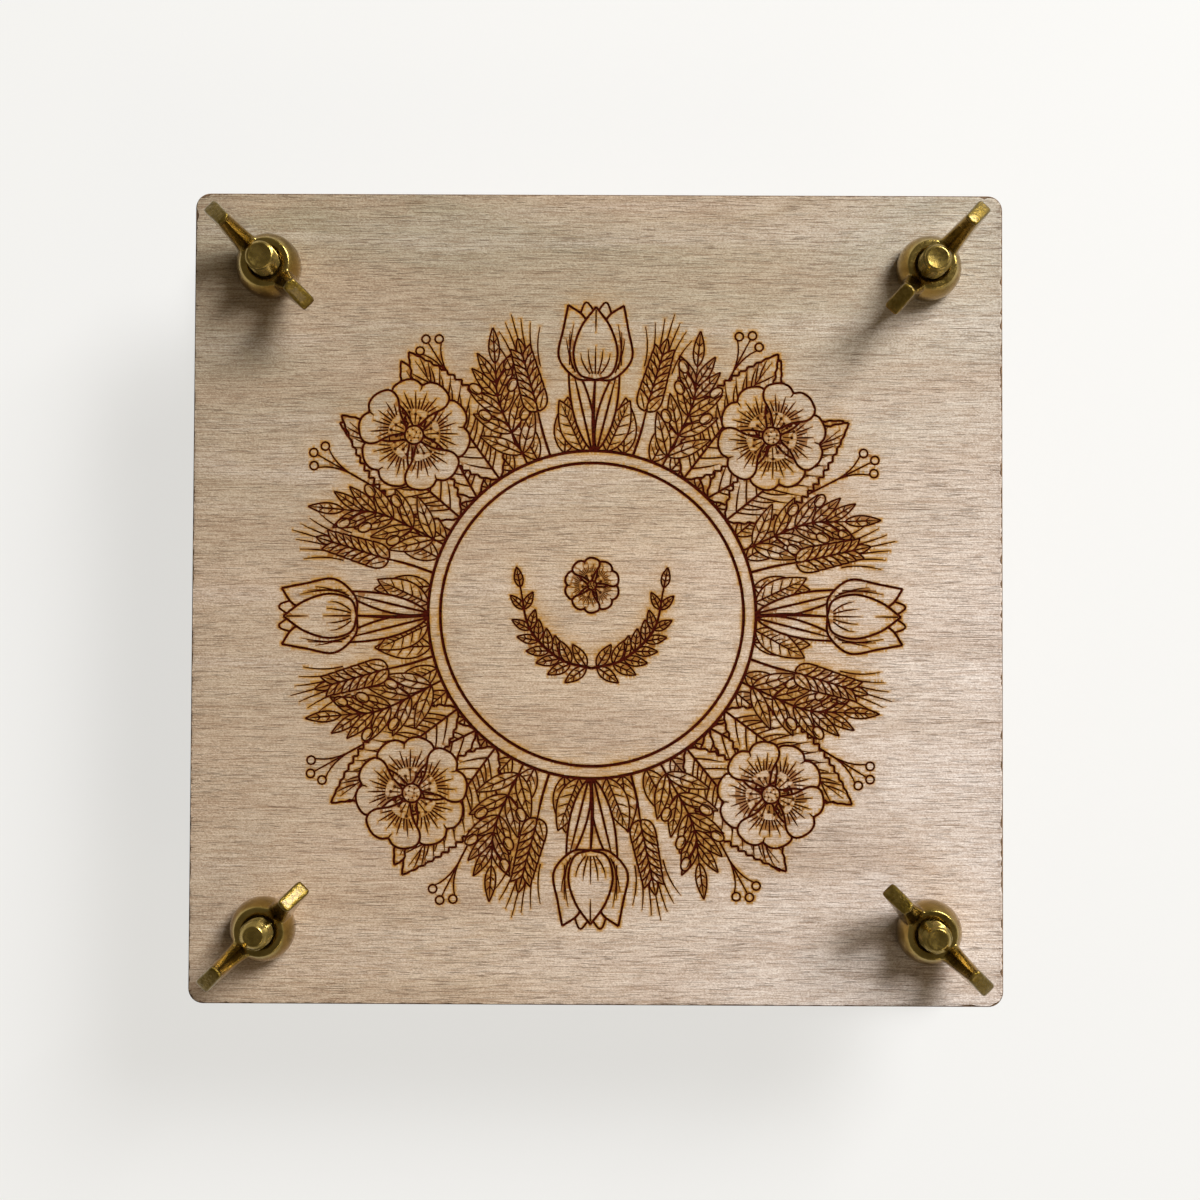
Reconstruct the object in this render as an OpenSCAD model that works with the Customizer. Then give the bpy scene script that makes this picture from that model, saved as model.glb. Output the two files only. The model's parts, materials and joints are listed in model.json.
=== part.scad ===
// Flower press: two plywood boards drawn together by four carriage bolts with wing nuts,
// over a stack of corrugated cards with blotting sheets between them.
// Millimetres, +Z up. The origin is under the middle of the press, on the table,
// where the four domed bolt heads stand.

/* [Boards] */
// Length of each side of the two square boards
board_side = 165; // [140:1:220]
// Thickness of each plywood board
board_t = 6; // [5:0.5:12]
// Radius of the boards' upright corners
board_corner_r = 3; // [1:0.5:8]
// Distance from a board's edge to the axis of the nearest bolts
bolt_inset = 15.4; // [15:0.1:22]
// Gap between a bolt and the wall of its hole in a board
hole_gap = 0.3; // [0.2:0.05:0.6]

/* [Bolts] */
// Outside diameter of the bolts' thread
bolt_d = 6; // [5:0.5:8]
// Height that each bolt stands above its wing nut's hub
bolt_standout = 6.2; // [2:0.1:12]
// Chamfer at the free end of each bolt
bolt_chamfer = 0.7; // [0.3:0.1:1]
// Diameter of the domed head
head_d = 16; // [14:0.5:20]
// Height of the domed head
head_h = 3.4; // [2.5:0.1:5]
// Height of the straight rim under the dome
head_rim_h = 0.6; // [0.3:0.1:1]
// Width of the square neck across its flats
neck_side = 6.3; // [6:0.1:8]
// Length of the square neck
neck_h = 3.6; // [2:0.1:4.5]
// Gap between the neck and its square socket in the bottom board
neck_gap = 0.05; // [0:0.05:0.2]
// Depth to which a head has drawn itself into the bottom board
head_bite = 0.3; // [0.1:0.1:0.6]
// Gap round the head where it has drawn in
head_bite_gap = 0.3; // [0.1:0.1:0.6]

/* [Wing nuts] */
// Diameter of the hub where it stands on the board
hub_base_d = 12.9; // [12:0.1:15]
// Diameter of the hub's flat top
hub_top_d = 9.6; // [9:0.1:11]
// Height of the hub
hub_h = 7.1; // [6:0.1:9]
// Height of the straight foot below the hub's rounded flank
hub_foot_h = 0.8; // [0.4:0.1:1.5]
// How far the flank bulges past a straight cone
hub_bulge = 0.7; // [0.2:0.1:1]
// Gap between the nut's bore and the bolt
thread_gap = 0.05; // [0.03:0.01:0.1]
// Width and depth of the countersink at the mouth of the bore
bore_sink = 0.4; // [0.2:0.1:0.8]
// Distance from tip to tip over both wings
wing_span = 28.2; // [26:0.1:29]
// Height of the wings' crest above the board
wing_h = 16.9; // [14:0.1:18]
// Length of the blunt end of a wing, measured outwards
wing_tip_w = 4.9; // [3:0.1:6]
// Fall of the blunt end from the crest to the tip
wing_tip_fall = 3.2; // [1:0.1:4]
// Height of a wing's underside where it leaves the hub
wing_root_z = 1.6; // [1:0.1:3]
// Thickness of a wing at its tip
wing_tip_t = 2.7; // [2.2:0.1:4.5]
// Thickness of a wing half way out
wing_waist_t = 2.9; // [2.2:0.1:4.5]
// Thickness of a wing where it joins the hub
wing_root_t = 5; // [4:0.1:7]
// Radius of a wing's corners, seen from the side
wing_corner_r = 1; // [0.4:0.1:1.2]
// Thread pitch: the board and the nuts move this far with each turn
thread_pitch = 1; // [0.8:0.1:1.25]
// Turns by which the nuts and the top board are backed off from rest
turns_open = 0; // [0:0.5:11]

/* [Stack] */
// Number of corrugated cards
card_count = 6; // [2:1:8]
// Thickness of a corrugated card
card_t = 3; // [2.5:0.1:5]
// Thickness of a card's flat liners
liner_t = 0.35; // [0.25:0.05:0.5]
// Thickness of the wavy paper between the liners
flute_t = 0.3; // [0.2:0.05:0.4]
// Length of one wave
flute_pitch = 6.5; // [5.5:0.1:9]
// Number of blotting sheets between two cards
sheets_per_gap = 2; // [1:1:4]
// Thickness of a blotting sheet
blotter_t = 0.7; // [0.4:0.1:1.2]
// Distance from a board's edge to the edge of the stack
stack_margin = 5; // [4:0.5:12]
// Gap between a bolt and the cut corner of a card or a sheet
corner_gap = 2.2; // [2:0.1:6]
// Largest shift of one card or sheet in the stack
stack_shift = 0.5; // [0:0.1:0.6]
// Largest twist of one card or sheet in the stack, in degrees
stack_twist = 0.3; // [0:0.05:0.35]

/* [Hidden] */
bolt_r = bolt_d / 2;
sheet_count = sheets_per_gap * (card_count - 1);
stack_h = card_count * card_t + sheet_count * blotter_t;

// Heights of what stands on what
bottom_board_z = head_h - head_bite;
stack_z = bottom_board_z + board_t;
top_board_z = stack_z + stack_h + turns_open * thread_pitch;
nut_z = top_board_z + board_t;
bolt_length = 2 * board_t - head_bite + stack_h + hub_h + bolt_standout;

// Bolts stand at the corners of a square, numbered anticlockwise from the front left
bolt_xy = board_side / 2 - bolt_inset;
BOLT_CORNERS = [[-1, -1], [1, -1], [1, 1], [-1, 1]];
// Angle of each nut's wings about its bolt, near enough along the boards' diagonals
WING_ANGLES = [44.5, -45, 48, -44.5];

// Cards and sheets are numbered from the bottom of the stack
stack_side = board_side - 2 * stack_margin;
// Half the distance between two opposite cut corners
corner_reach = bolt_xy * sqrt(2) - bolt_r - corner_gap;
// The middle of the wavy paper swings this far each way, up to the liners
flute_swing = card_t / 2 - liner_t - flute_t / 2;
// Width over which each crest of the wavy paper is glued to a liner
flute_bond_w = 2 * flute_t;
// Straight pieces in one wave of the wavy paper
flute_steps = 8;
// Each card or sheet is turned this far round from the last, so that no two lie alike
golden_angle = 137.5;

// Overrun of a cut past the face that it opens
cut = 1;
// Straight pieces in a curved edge of a wing nut's profile
curve_steps = 8;
$fn = 96;

// Points along a curve from a to b that is drawn towards the point pull
function curve(a, pull, b, steps = curve_steps) = [
    for (i = [0:steps]) let (s = i / steps)
        (1 - s) * (1 - s) * a + 2 * s * (1 - s) * pull + s * s * b
];

// A corner at p between the directions of before and after, rounded to about r
function rounded(before, p, after, r, steps = 4) =
    let (
        a = p + r * (before - p) / norm(before - p),
        b = p + r * (after - p) / norm(after - p)
    ) curve(a, p, b, steps);

// Height of the underside of a card, and of a blotting sheet, in the stack
function card_z(i) = stack_z + (i - 1) * (card_t + sheets_per_gap * blotter_t);
function sheet_z(i) =
    let (gap = floor((i - 1) / sheets_per_gap), place = (i - 1) % sheets_per_gap)
    card_z(gap + 1) + card_t + place * blotter_t;

module at_bolt(i) {
    translate([BOLT_CORNERS[i - 1][0] * bolt_xy, BOLT_CORNERS[i - 1][1] * bolt_xy, 0])
        children();
}

// A square of side s with round corners, flat on the plane
module rounded_square(s, r) {
    square([s - 2 * r, s], center = true);
    square([s, s - 2 * r], center = true);
    for (x = [-1, 1], y = [-1, 1])
        translate([x * (s / 2 - r), y * (s / 2 - r)])
            circle(r = r);
}

// A plywood board with its four clearance holes, standing on z = 0
module board() {
    difference() {
        linear_extrude(board_t)
            rounded_square(board_side, board_corner_r);
        for (i = [1:4])
            at_bolt(i)
                translate([0, 0, -cut])
                    cylinder(r = bolt_r + hole_gap, h = board_t + 2 * cut);
    }
}

module bottom_board() {
    socket = neck_side + 2 * neck_gap;
    color("burlywood")
        translate([0, 0, bottom_board_z])
            difference() {
                board();
                for (i = [1:4])
                    at_bolt(i) {
                        // Square socket of the neck, and the ring that the head has drawn into the veneer
                        translate([-socket / 2, -socket / 2, -cut])
                            cube([socket, socket, cut + head_bite + neck_h]);
                        translate([0, 0, -cut])
                            cylinder(r = head_d / 2 + head_bite_gap, h = cut + head_bite);
                    }
            }
}

module top_board() {
    color("burlywood")
        translate([0, 0, top_board_z])
            board();
}

// Half of the head's outline: part of a circle over a straight rim, crown at z = 0
module head_outline() {
    dome_h = head_h - head_rim_h;
    dome_r = (head_d * head_d / 4 + dome_h * dome_h) / (2 * dome_h);
    intersection() {
        translate([0, dome_r])
            circle(r = dome_r);
        square([head_d / 2, dome_h]);
    }
    translate([0, dome_h])
        square([head_d / 2, head_rim_h]);
}

// Carriage bolt, standing on its domed head
module carriage_bolt() {
    color("darkgoldenrod") {
        rotate_extrude()
            head_outline();
        translate([-neck_side / 2, -neck_side / 2, head_h])
            cube([neck_side, neck_side, neck_h]);
        translate([0, 0, head_h])
            cylinder(r = bolt_r, h = bolt_length - bolt_chamfer);
        translate([0, 0, head_h + bolt_length - bolt_chamfer])
            cylinder(r1 = bolt_r, r2 = bolt_r - bolt_chamfer, h = bolt_chamfer);
    }
}

// Half of the hub's outline, from the axis out
function hub_outline() =
    let (
        foot = [hub_base_d / 2, hub_foot_h],
        rim = [hub_top_d / 2, hub_h],
        out = [rim[1] - foot[1], foot[0] - rim[0]] / norm(rim - foot),
        bulge = (foot + rim) / 2 + 2 * hub_bulge * out
    )
    concat([[0, 0], [hub_base_d / 2, 0]], curve(foot, bulge, rim), [[0, hub_h]]);

// A wing seen from the side, with x outwards from the bolt's axis: the inner edge climbs in a
// hollow curve from the hub's rim to the crest, a blunt end falls to the tip, and the outer
// edge sweeps back under to the foot of the hub
function wing_outline() =
    let (
        rim = [bolt_r, hub_h],
        crest = [wing_span / 2 - wing_tip_w, wing_h],
        tip = [wing_span / 2, wing_h - wing_tip_fall],
        root = [hub_top_d / 2, wing_root_z],
        inner_pull = [hub_top_d / 2 + wing_corner_r, hub_h],
        outer_pull = [hub_base_d / 2 + wing_corner_r, hub_foot_h + wing_root_z],
        inner = curve(rim, inner_pull, crest),
        outer = curve(tip, outer_pull, root),
        last = len(inner) - 1
    )
    concat(
        [for (i = [0:last - 1]) inner[i]],
        rounded(inner[last - 1], crest, tip, wing_corner_r),
        rounded(crest, tip, outer[1], wing_corner_r),
        [for (i = [1:last]) outer[i]],
        [[bolt_r, wing_root_z]]
    );

// A wing seen from above: flared at the hub, then slim all the way to its blunt tip
function wing_plan() =
    let (
        reach = wing_span / 2,
        hub = [hub_top_d / 2 - wing_corner_r, wing_root_t / 2],
        waist = [(hub_base_d / 2 + reach) / 2, wing_waist_t / 2],
        tip = [reach + cut, wing_tip_t / 2],
        flare = [hub_base_d / 2, wing_waist_t / 2],
        side = concat([[0, wing_root_t / 2]], curve(hub, flare, waist), [tip])
    )
    concat(side, [for (i = [len(side) - 1:-1:0]) [side[i][0], -side[i][1]]]);

module wing() {
    intersection() {
        rotate([90, 0, 0])
            linear_extrude(wing_root_t + 2 * cut, center = true)
                polygon(wing_outline());
        linear_extrude(wing_h + cut)
            polygon(wing_plan());
    }
}

// Wing nut, standing on its hub
module wing_nut() {
    bore_r = bolt_r + thread_gap;
    color("goldenrod")
        difference() {
            union() {
                rotate_extrude()
                    polygon(hub_outline());
                for (side = [0, 180])
                    rotate([0, 0, side])
                        wing();
            }
            translate([0, 0, -cut])
                cylinder(r = bore_r, h = hub_h + wing_h);
            translate([0, 0, hub_h - bore_sink])
                cylinder(r1 = bore_r, r2 = bore_r + 2 * bore_sink, h = 2 * bore_sink);
        }
}

// The square with cut corners that cards and sheets share
module stack_outline() {
    intersection() {
        square(stack_side, center = true);
        rotate(45)
            square(2 * corner_reach, center = true);
    }
}

// Cards and sheets never lie quite true: each has its own small shift and twist
module laid(i) {
    a = i * golden_angle;
    translate([stack_shift * sin(a), stack_shift * cos(2 * a), 0])
        rotate([0, 0, stack_twist * sin(3 * a)])
            children();
}

// The hollow over one wave, between the wavy paper below and the flat liner above, measured
// from the middle of the card; the wavy paper's crests run up into the liner on both sides
module flute_hollow() {
    roof = card_t / 2 - liner_t;
    floor_points = [
        for (i = [1 - flute_steps / 2:flute_steps / 2 - 1])
            let (
                phase = 360 * i / flute_steps,
                rise = 2 * PI * flute_swing / flute_pitch * sin(phase),
                thick = flute_t / 2 / sqrt(1 + rise * rise)
            )
            [flute_pitch * i / flute_steps - thick * rise, thick - flute_swing * cos(phase)]
    ];
    half_roof = flute_pitch / 2 - flute_bond_w / 2;
    polygon(concat([[-half_roof, roof]], floor_points, [[half_roof, roof]]));
}

// Section through a corrugated card: two liners with a wavy paper bonded between them
module card_section() {
    half_waves = ceil(stack_side / flute_pitch / 2) + 1;
    difference() {
        translate([-half_waves * flute_pitch, 0])
            square([2 * half_waves * flute_pitch, card_t]);
        for (i = [-half_waves:half_waves - 1])
            translate([(i + 1 / 2) * flute_pitch, card_t / 2])
                flute_hollow();
        for (i = [1 - half_waves:half_waves - 1])
            translate([i * flute_pitch, card_t / 2])
                rotate(180)
                    flute_hollow();
    }
}

// Corrugated card, its waves turned a quarter from those of the card below
module card(i) {
    color("tan")
        translate([0, 0, card_z(i)])
            laid(i)
                rotate([0, 0, i % 2 == 0 ? 90 : 0])
                    intersection() {
                        rotate([90, 0, 0])
                            linear_extrude(stack_side + 2 * cut, center = true)
                                card_section();
                        linear_extrude(card_t)
                            stack_outline();
                    }
}

module blotter(i) {
    color("ivory")
        translate([0, 0, sheet_z(i)])
            laid(card_count + i)
                linear_extrude(blotter_t)
                    stack_outline();
}

bottom_board();
top_board();
for (i = [1:4])
    at_bolt(i) carriage_bolt();
for (i = [1:4])
    at_bolt(i)
            translate([0, 0, nut_z])
                rotate([0, 0, WING_ANGLES[i - 1] + 360 * turns_open])
                    wing_nut();
for (i = [1:card_count])
    card(i);
for (i = [1:sheet_count])
    blotter(i);
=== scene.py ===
"""The looks of a flower press: engraved birch plywood, brass hardware, corrugated cards and blotting paper.

Lengths are in millimetres in the builders, and become metres when a mesh is made.
"""

import json
import logging
import math
from abc import ABC, abstractmethod
from collections.abc import Callable, Iterable, Sequence
from dataclasses import dataclass, field, replace
from enum import Enum

import bmesh
import bpy
import numpy as np
from mathutils import Matrix, Vector, noise
from mathutils.geometry import delaunay_2d_cdt


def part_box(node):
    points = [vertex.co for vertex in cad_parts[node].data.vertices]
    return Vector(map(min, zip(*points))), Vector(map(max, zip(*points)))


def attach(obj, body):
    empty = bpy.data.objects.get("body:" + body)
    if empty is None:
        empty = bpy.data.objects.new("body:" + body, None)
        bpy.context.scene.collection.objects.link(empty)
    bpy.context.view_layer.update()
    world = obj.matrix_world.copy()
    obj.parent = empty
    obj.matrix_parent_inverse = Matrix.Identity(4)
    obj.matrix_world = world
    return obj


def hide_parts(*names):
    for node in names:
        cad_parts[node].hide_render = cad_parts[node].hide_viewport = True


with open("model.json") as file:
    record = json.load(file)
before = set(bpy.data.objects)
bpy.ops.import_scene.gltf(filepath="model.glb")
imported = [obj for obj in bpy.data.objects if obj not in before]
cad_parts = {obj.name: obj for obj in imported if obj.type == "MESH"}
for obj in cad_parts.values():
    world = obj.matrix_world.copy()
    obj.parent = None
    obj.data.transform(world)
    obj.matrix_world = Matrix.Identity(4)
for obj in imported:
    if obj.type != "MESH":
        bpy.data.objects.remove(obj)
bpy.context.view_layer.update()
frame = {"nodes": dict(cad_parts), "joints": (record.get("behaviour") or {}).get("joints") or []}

LOG = logging.getLogger("flower_press")
MM = 0.001
MERGE_MM = 0.0005
FULL_TURN = 2 * math.pi
GOLDEN_TURN = math.pi * (3 - math.sqrt(5))
Socket = bpy.types.NodeSocket
Colour = tuple[float, float, float]
Stroke = tuple[np.ndarray, np.ndarray]
Extent = tuple[float, ...]


class Slot(Enum):
    """The record's material slots."""

    PLYWOOD = "plywood"
    NUT = "nut_brass"
    BOLT = "bolt_brass"
    CARD = "corrugated_card"


class Corner(Enum):
    """The four corners where a bolt stands.

    Attributes:
        number: The number of the bolt and its nut in the CAD model.
        wing_angle: The direction of the nut's wings, in degrees.
        end_r: The radius of the flat on the bolt's end.
    """

    FRONT_LEFT = (1, 44.5, 1.95)
    FRONT_RIGHT = (2, -45.0, 2.1)
    BACK_RIGHT = (3, 48.0, 2.3)
    BACK_LEFT = (4, -44.5, 2.5)

    def __init__(self, number: int, wing_angle: float, end_r: float) -> None:
        """Keeps the corner's values.

        Args:
            number: The corner's number in the CAD model.
            wing_angle: The direction of the nut's wings, in degrees.
            end_r: The radius of the flat on the bolt's end.
        """
        self.number = number
        self.wing_angle = wing_angle
        self.end_r = end_r

    def axis(self) -> complex:
        """Where the bolt stands in plan, in millimetres, from the joint of its nut."""
        joint = next(j for j in frame["joints"] if j["child"] == f"wing_nut_{self.number}")
        return complex(joint["pos_m"][0] / MM, joint["pos_m"][1] / MM)


class Mark(Enum):
    """Values painted on a mesh's points for its materials to read."""

    SCORCH = "scorch"
    GROOVE = "groove"
    BURN = "burn"
    PLY = "ply"
    TIP = "tip"


# Mesh tools


@dataclass
class Draft:
    """Gathers the patches of one mesh, in millimetres."""

    points: list[np.ndarray] = field(default_factory=list)
    faces: list[Sequence[int]] = field(default_factory=list)
    slots: list[int] = field(default_factory=list)
    marks: dict[Mark, list[np.ndarray]] = field(default_factory=dict)
    count: int = 0

    def add(
        self,
        points: np.ndarray,
        faces: Iterable[Sequence[int]],
        slot: int = 0,
        **marks: np.ndarray | float,
    ) -> None:
        """Adds one patch.

        Args:
            points: Its points, one row each.
            faces: Its faces, as indices into points.
            slot: The material slot of its faces.
            marks: Values of its points, by the name of the mark.
        """
        self.points.append(np.asarray(points, float))
        start = len(self.faces)
        self.faces.extend([i + self.count for i in face] for face in faces)
        self.slots.extend([slot] * (len(self.faces) - start))
        for mark in Mark:
            value = marks.get(mark.value, 0.0)
            rows = self.marks.setdefault(mark, [])
            rows.append(np.broadcast_to(np.asarray(value, float), (len(points),)))
        self.count += len(points)

    def mesh(self, name: str, smooth_deg: float | None = None) -> bpy.types.Mesh:
        """Joins the patches where their points meet.

        Args:
            name: The mesh's name.
            smooth_deg: Edges flatter than this are shaded smooth, or None for flat shading.

        Returns:
            The mesh, in metres.
        """
        points = np.vstack(self.points)
        keys = np.round(points / MERGE_MM).astype(np.int64)
        _, first, where = np.unique(keys, axis=0, return_index=True, return_inverse=True)
        where = where.reshape(-1)
        faces, slots = [], []
        for face, slot in zip(self.faces, self.slots):
            joined = [int(where[i]) for i in face]
            joined = [v for k, v in enumerate(joined) if v != joined[k - 1]]
            if len(set(joined)) > 2:
                faces.append(joined)
                slots.append(slot)
        made = bpy.data.meshes.new(name)
        made.from_pydata((points[first] * MM).tolist(), [], faces)
        made.polygons.foreach_set("material_index", slots)
        for mark, rows in self.marks.items():
            values = np.concatenate(rows)[first]
            if values.any():
                layer = made.attributes.new(mark.value, "FLOAT", "POINT")
                layer.data.foreach_set("value", values.astype(np.float32))
        shell = bmesh.new()
        shell.from_mesh(made)
        bmesh.ops.recalc_face_normals(shell, faces=shell.faces)
        shell.to_mesh(made)
        shell.free()
        if smooth_deg is not None:
            made.shade_smooth()
            made.set_sharp_from_angle(angle=math.radians(smooth_deg))
        return made


def skin(loops: Sequence[np.ndarray]) -> tuple[np.ndarray, list[list[int]]]:
    """Stretches quads between loops that have the same number of points.

    Args:
        loops: Closed loops of points, in order.

    Returns:
        The points of all the loops, and the quads between them.
    """
    n = len(loops[0])
    faces = [
        [row * n + i, row * n + (i + 1) % n, (row + 1) * n + (i + 1) % n, (row + 1) * n + i]
        for row in range(len(loops) - 1)
        for i in range(n)
    ]
    return np.vstack(loops), faces


def lift(flat: np.ndarray, z: float | np.ndarray) -> np.ndarray:
    """Puts complex plane points at height z."""
    return np.column_stack([flat.real, flat.imag, np.broadcast_to(z, flat.shape)])


def is_convex(loop: Sequence[complex]) -> bool:
    """Whether a loop turns left at each of its points."""
    sides = [b - a for a, b in zip(loop, [*loop[1:], loop[0]])]
    return all((a.conjugate() * b).imag > 1e-4 for a, b in zip(sides, [*sides[1:], sides[0]]))


def bend(start: complex, pull: complex, end: complex, steps: int) -> np.ndarray:
    """Points along a curve from start to end that is drawn towards pull."""
    t = np.linspace(0, 1, steps + 1)
    return (1 - t) ** 2 * start + 2 * t * (1 - t) * pull + t**2 * end


def flat_part(points: np.ndarray) -> np.ndarray:
    """Points as complex plane points, without their height."""
    return points[:, 0] + 1j * points[:, 1]


def place(mesh: bpy.types.Mesh, node: str, body: str, slot: Slot, *finishes: bpy.types.Material) -> None:
    """Makes a piece of a mesh, dresses it, and lets it ride on a body and stand for a CAD node.

    Args:
        mesh: The piece's mesh, in the shared frame, named as the piece is.
        node: The CAD node that it replaces.
        body: The CAD body that it rides on.
        slot: The record's material slot; not used.
        finishes: Its materials, in the order of its faces' material slots.
    """
    for finish in finishes:
        mesh.materials.append(finish)
    piece = bpy.data.objects.new(mesh.name, mesh)
    bpy.context.scene.collection.objects.link(piece)
    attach(piece, body)
    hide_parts(node)
    LOG.info("%s: %d faces, on %s, for %s", piece.name, len(mesh.polygons), body, node)


# Node tools


class Tree:
    """Adds and links nodes in one node tree."""

    def __init__(self, tree: bpy.types.NodeTree) -> None:
        """Starts on an empty tree."""
        self.tree = tree
        tree.nodes.clear()

    def node(self, kind: str, inputs: dict | None = None, **settings: object) -> bpy.types.Node:
        """Adds a node.

        Args:
            kind: The node's type.
            inputs: Sockets or plain values, by the input's name or number.
            settings: The node's own settings.

        Returns:
            The node.
        """
        made = self.tree.nodes.new(kind)
        for key, value in settings.items():
            setattr(made, key, value)
        for key, value in (inputs or {}).items():
            if isinstance(value, Socket):
                self.tree.links.new(value, made.inputs[key])
            else:
                made.inputs[key].default_value = value
        return made

    def math(self, operation: str, *values: Socket | float, clamp: bool = False) -> Socket:
        """A Math node's result."""
        made = self.node("ShaderNodeMath", dict(enumerate(values)), operation=operation, use_clamp=clamp)
        return made.outputs[0]

    def span(
        self, value: Socket, low: float, high: float, start: float = 0.0, end: float = 1.0
    ) -> Socket:
        """value stretched so that low to high becomes start to end, and held there."""
        inputs = {0: value, 1: low, 2: high, 3: start, 4: end}
        return self.node("ShaderNodeMapRange", inputs, clamp=True).outputs[0]

    def mix(
        self, share: Socket | float, a: Socket | Colour, b: Socket | Colour, blend: str = "MIX"
    ) -> Socket:
        """Two colours mixed by share.

        Args:
            share: How much of the second colour shows.
            a: The first colour.
            b: The second colour.
            blend: The way in which they are mixed.

        Returns:
            The mixed colour.
        """
        inputs = {
            0: share,
            6: a if isinstance(a, Socket) else (*a, 1.0),
            7: b if isinstance(b, Socket) else (*b, 1.0),
        }
        return self.node("ShaderNodeMix", inputs, data_type="RGBA", blend_type=blend).outputs[2]

    def stretch(self, vector: Socket, factors: Sequence[float]) -> Socket:
        """vector scaled along each axis."""
        inputs = {0: vector, 1: tuple(factors)}
        return self.node("ShaderNodeVectorMath", inputs, operation="MULTIPLY").outputs[0]

    def noise(
        self, vector: Socket, factors: Sequence[float], detail: float = 2.0, warp: float = 0.0
    ) -> Socket:
        """Cloudy noise whose features are 1 / factors millimetres long on each axis.

        Args:
            vector: Where each point is, in millimetres.
            factors: One over the length of its features, along each axis.
            detail: How many finer layers it has.
            warp: How far it is distorted.

        Returns:
            The noise, from 0 to 1.
        """
        inputs = {
            "Vector": self.stretch(vector, factors),
            "Scale": 1.0,
            "Detail": detail,
            "Roughness": 0.55,
            "Distortion": warp,
        }
        return self.node("ShaderNodeTexNoise", inputs).outputs[0]

    def millimetres(self) -> Socket:
        """The point's place in its object, in millimetres."""
        metres = self.node("ShaderNodeTexCoord").outputs["Object"]
        return self.stretch(metres, (1 / MM, 1 / MM, 1 / MM))

    def mark(self, mark: Mark) -> Socket:
        """A mark painted on the mesh."""
        return self.node("ShaderNodeAttribute", attribute_name=mark.value).outputs["Fac"]


@dataclass(frozen=True)
class Effect:
    """A shader node group that several finishes share.

    Attributes:
        name: The group's name.
        inputs: Names and defaults of its number inputs, beside the vector.
        outputs: Names of its number outputs.
        wire: Fills the group from its inputs, and gives its outputs in order.
    """

    name: str
    inputs: dict[str, float]
    outputs: tuple[str, ...]
    wire: Callable[[Tree, dict[str, Socket]], Sequence[Socket]]

    def group(self) -> bpy.types.NodeTree:
        """The group, made on first use.

        Returns:
            The group.
        """
        made = bpy.data.node_groups.get(self.name)
        if made:
            return made
        made = bpy.data.node_groups.new(self.name, "ShaderNodeTree")
        made.interface.new_socket(name="Vector", in_out="INPUT", socket_type="NodeSocketVector")
        for name, default in self.inputs.items():
            socket = made.interface.new_socket(name=name, in_out="INPUT", socket_type="NodeSocketFloat")
            socket.default_value = default
        for name in self.outputs:
            made.interface.new_socket(name=name, in_out="OUTPUT", socket_type="NodeSocketFloat")
        tree = Tree(made)
        source = tree.node("NodeGroupInput")
        results = self.wire(tree, {socket.name: socket for socket in source.outputs if socket.name})
        tree.node("NodeGroupOutput", dict(zip(self.outputs, results)))
        return made

    def place(self, tree: Tree, vector: Socket, **values: float) -> dict[str, Socket]:
        """Puts the group in a material.

        Args:
            tree: The material's nodes.
            vector: Where each point is, in millimetres.
            values: Its number inputs, by name.

        Returns:
            Its outputs by name.
        """
        node = tree.node("ShaderNodeGroup", node_tree=self.group())
        tree.tree.links.new(vector, node.inputs["Vector"])
        for name, value in values.items():
            node.inputs[name].default_value = value
        return {socket.name: socket for socket in node.outputs}


def wire_grain(tree: Tree, given: dict[str, Socket]) -> list[Socket]:
    """Birch veneer with its grain along X: figure, tone bands, fine fibres, hairlines and open pores.

    Args:
        tree: The group's nodes.
        given: The group's inputs by name.

    Returns:
        The figure, bands, fibres, pores and relief.
    """
    vector = given["Vector"]
    figure = tree.noise(vector, (0.010, 0.035, 0.035), 2.0, 0.8)
    contour = tree.math("PINGPONG", tree.math("MULTIPLY", figure, 9.0), 0.5)
    bands = tree.noise(vector, (0.009, 0.10, 0.10), 3.5, 0.6)
    bands = tree.math("MULTIPLY_ADD", tree.span(contour, 0.0, 0.1, 1.0, 0.0), 0.11, bands)
    fine = tree.noise(vector, (0.20, 6.0, 6.0), 1.0, 0.15)
    tooth = tree.noise(vector, (3.0, 5.0, 5.0), 1.0)
    fibres = tree.math("MULTIPLY_ADD", tooth, 0.55, tree.math("MULTIPLY", fine, 0.45))
    for offset, weight in ((0.0, -0.11), (31.0, -0.09), (67.0, 0.10)):
        moved = tree.node("ShaderNodeVectorMath", {0: vector, 1: (offset, offset, offset)}).outputs[0]
        streaks = tree.noise(moved, (0.030, 2.2, 2.2), 1.0, 0.3)
        apart = tree.math("ABSOLUTE", tree.math("SUBTRACT", streaks, 0.5))
        broken = tree.span(tree.noise(moved, (0.11, 1.3, 1.3), 1.0), 0.46, 0.6)
        hairline = tree.math("MULTIPLY", tree.span(apart, 0.0, 0.055, 1.0, 0.0), broken)
        fibres = tree.math("MULTIPLY_ADD", hairline, weight, fibres)
    broken = tree.noise(vector, (0.24, 7.0, 7.0), 0.5, 0.15)
    clumps = tree.noise(vector, (0.05, 0.09, 0.09), 1.0)
    pores = tree.span(tree.math("MULTIPLY_ADD", clumps, 0.2, broken), 0.75, 0.83)
    relief = tree.math("SUBTRACT", fibres, tree.math("MULTIPLY", pores, 0.5))
    return [figure, bands, fibres, pores, relief]


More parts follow.
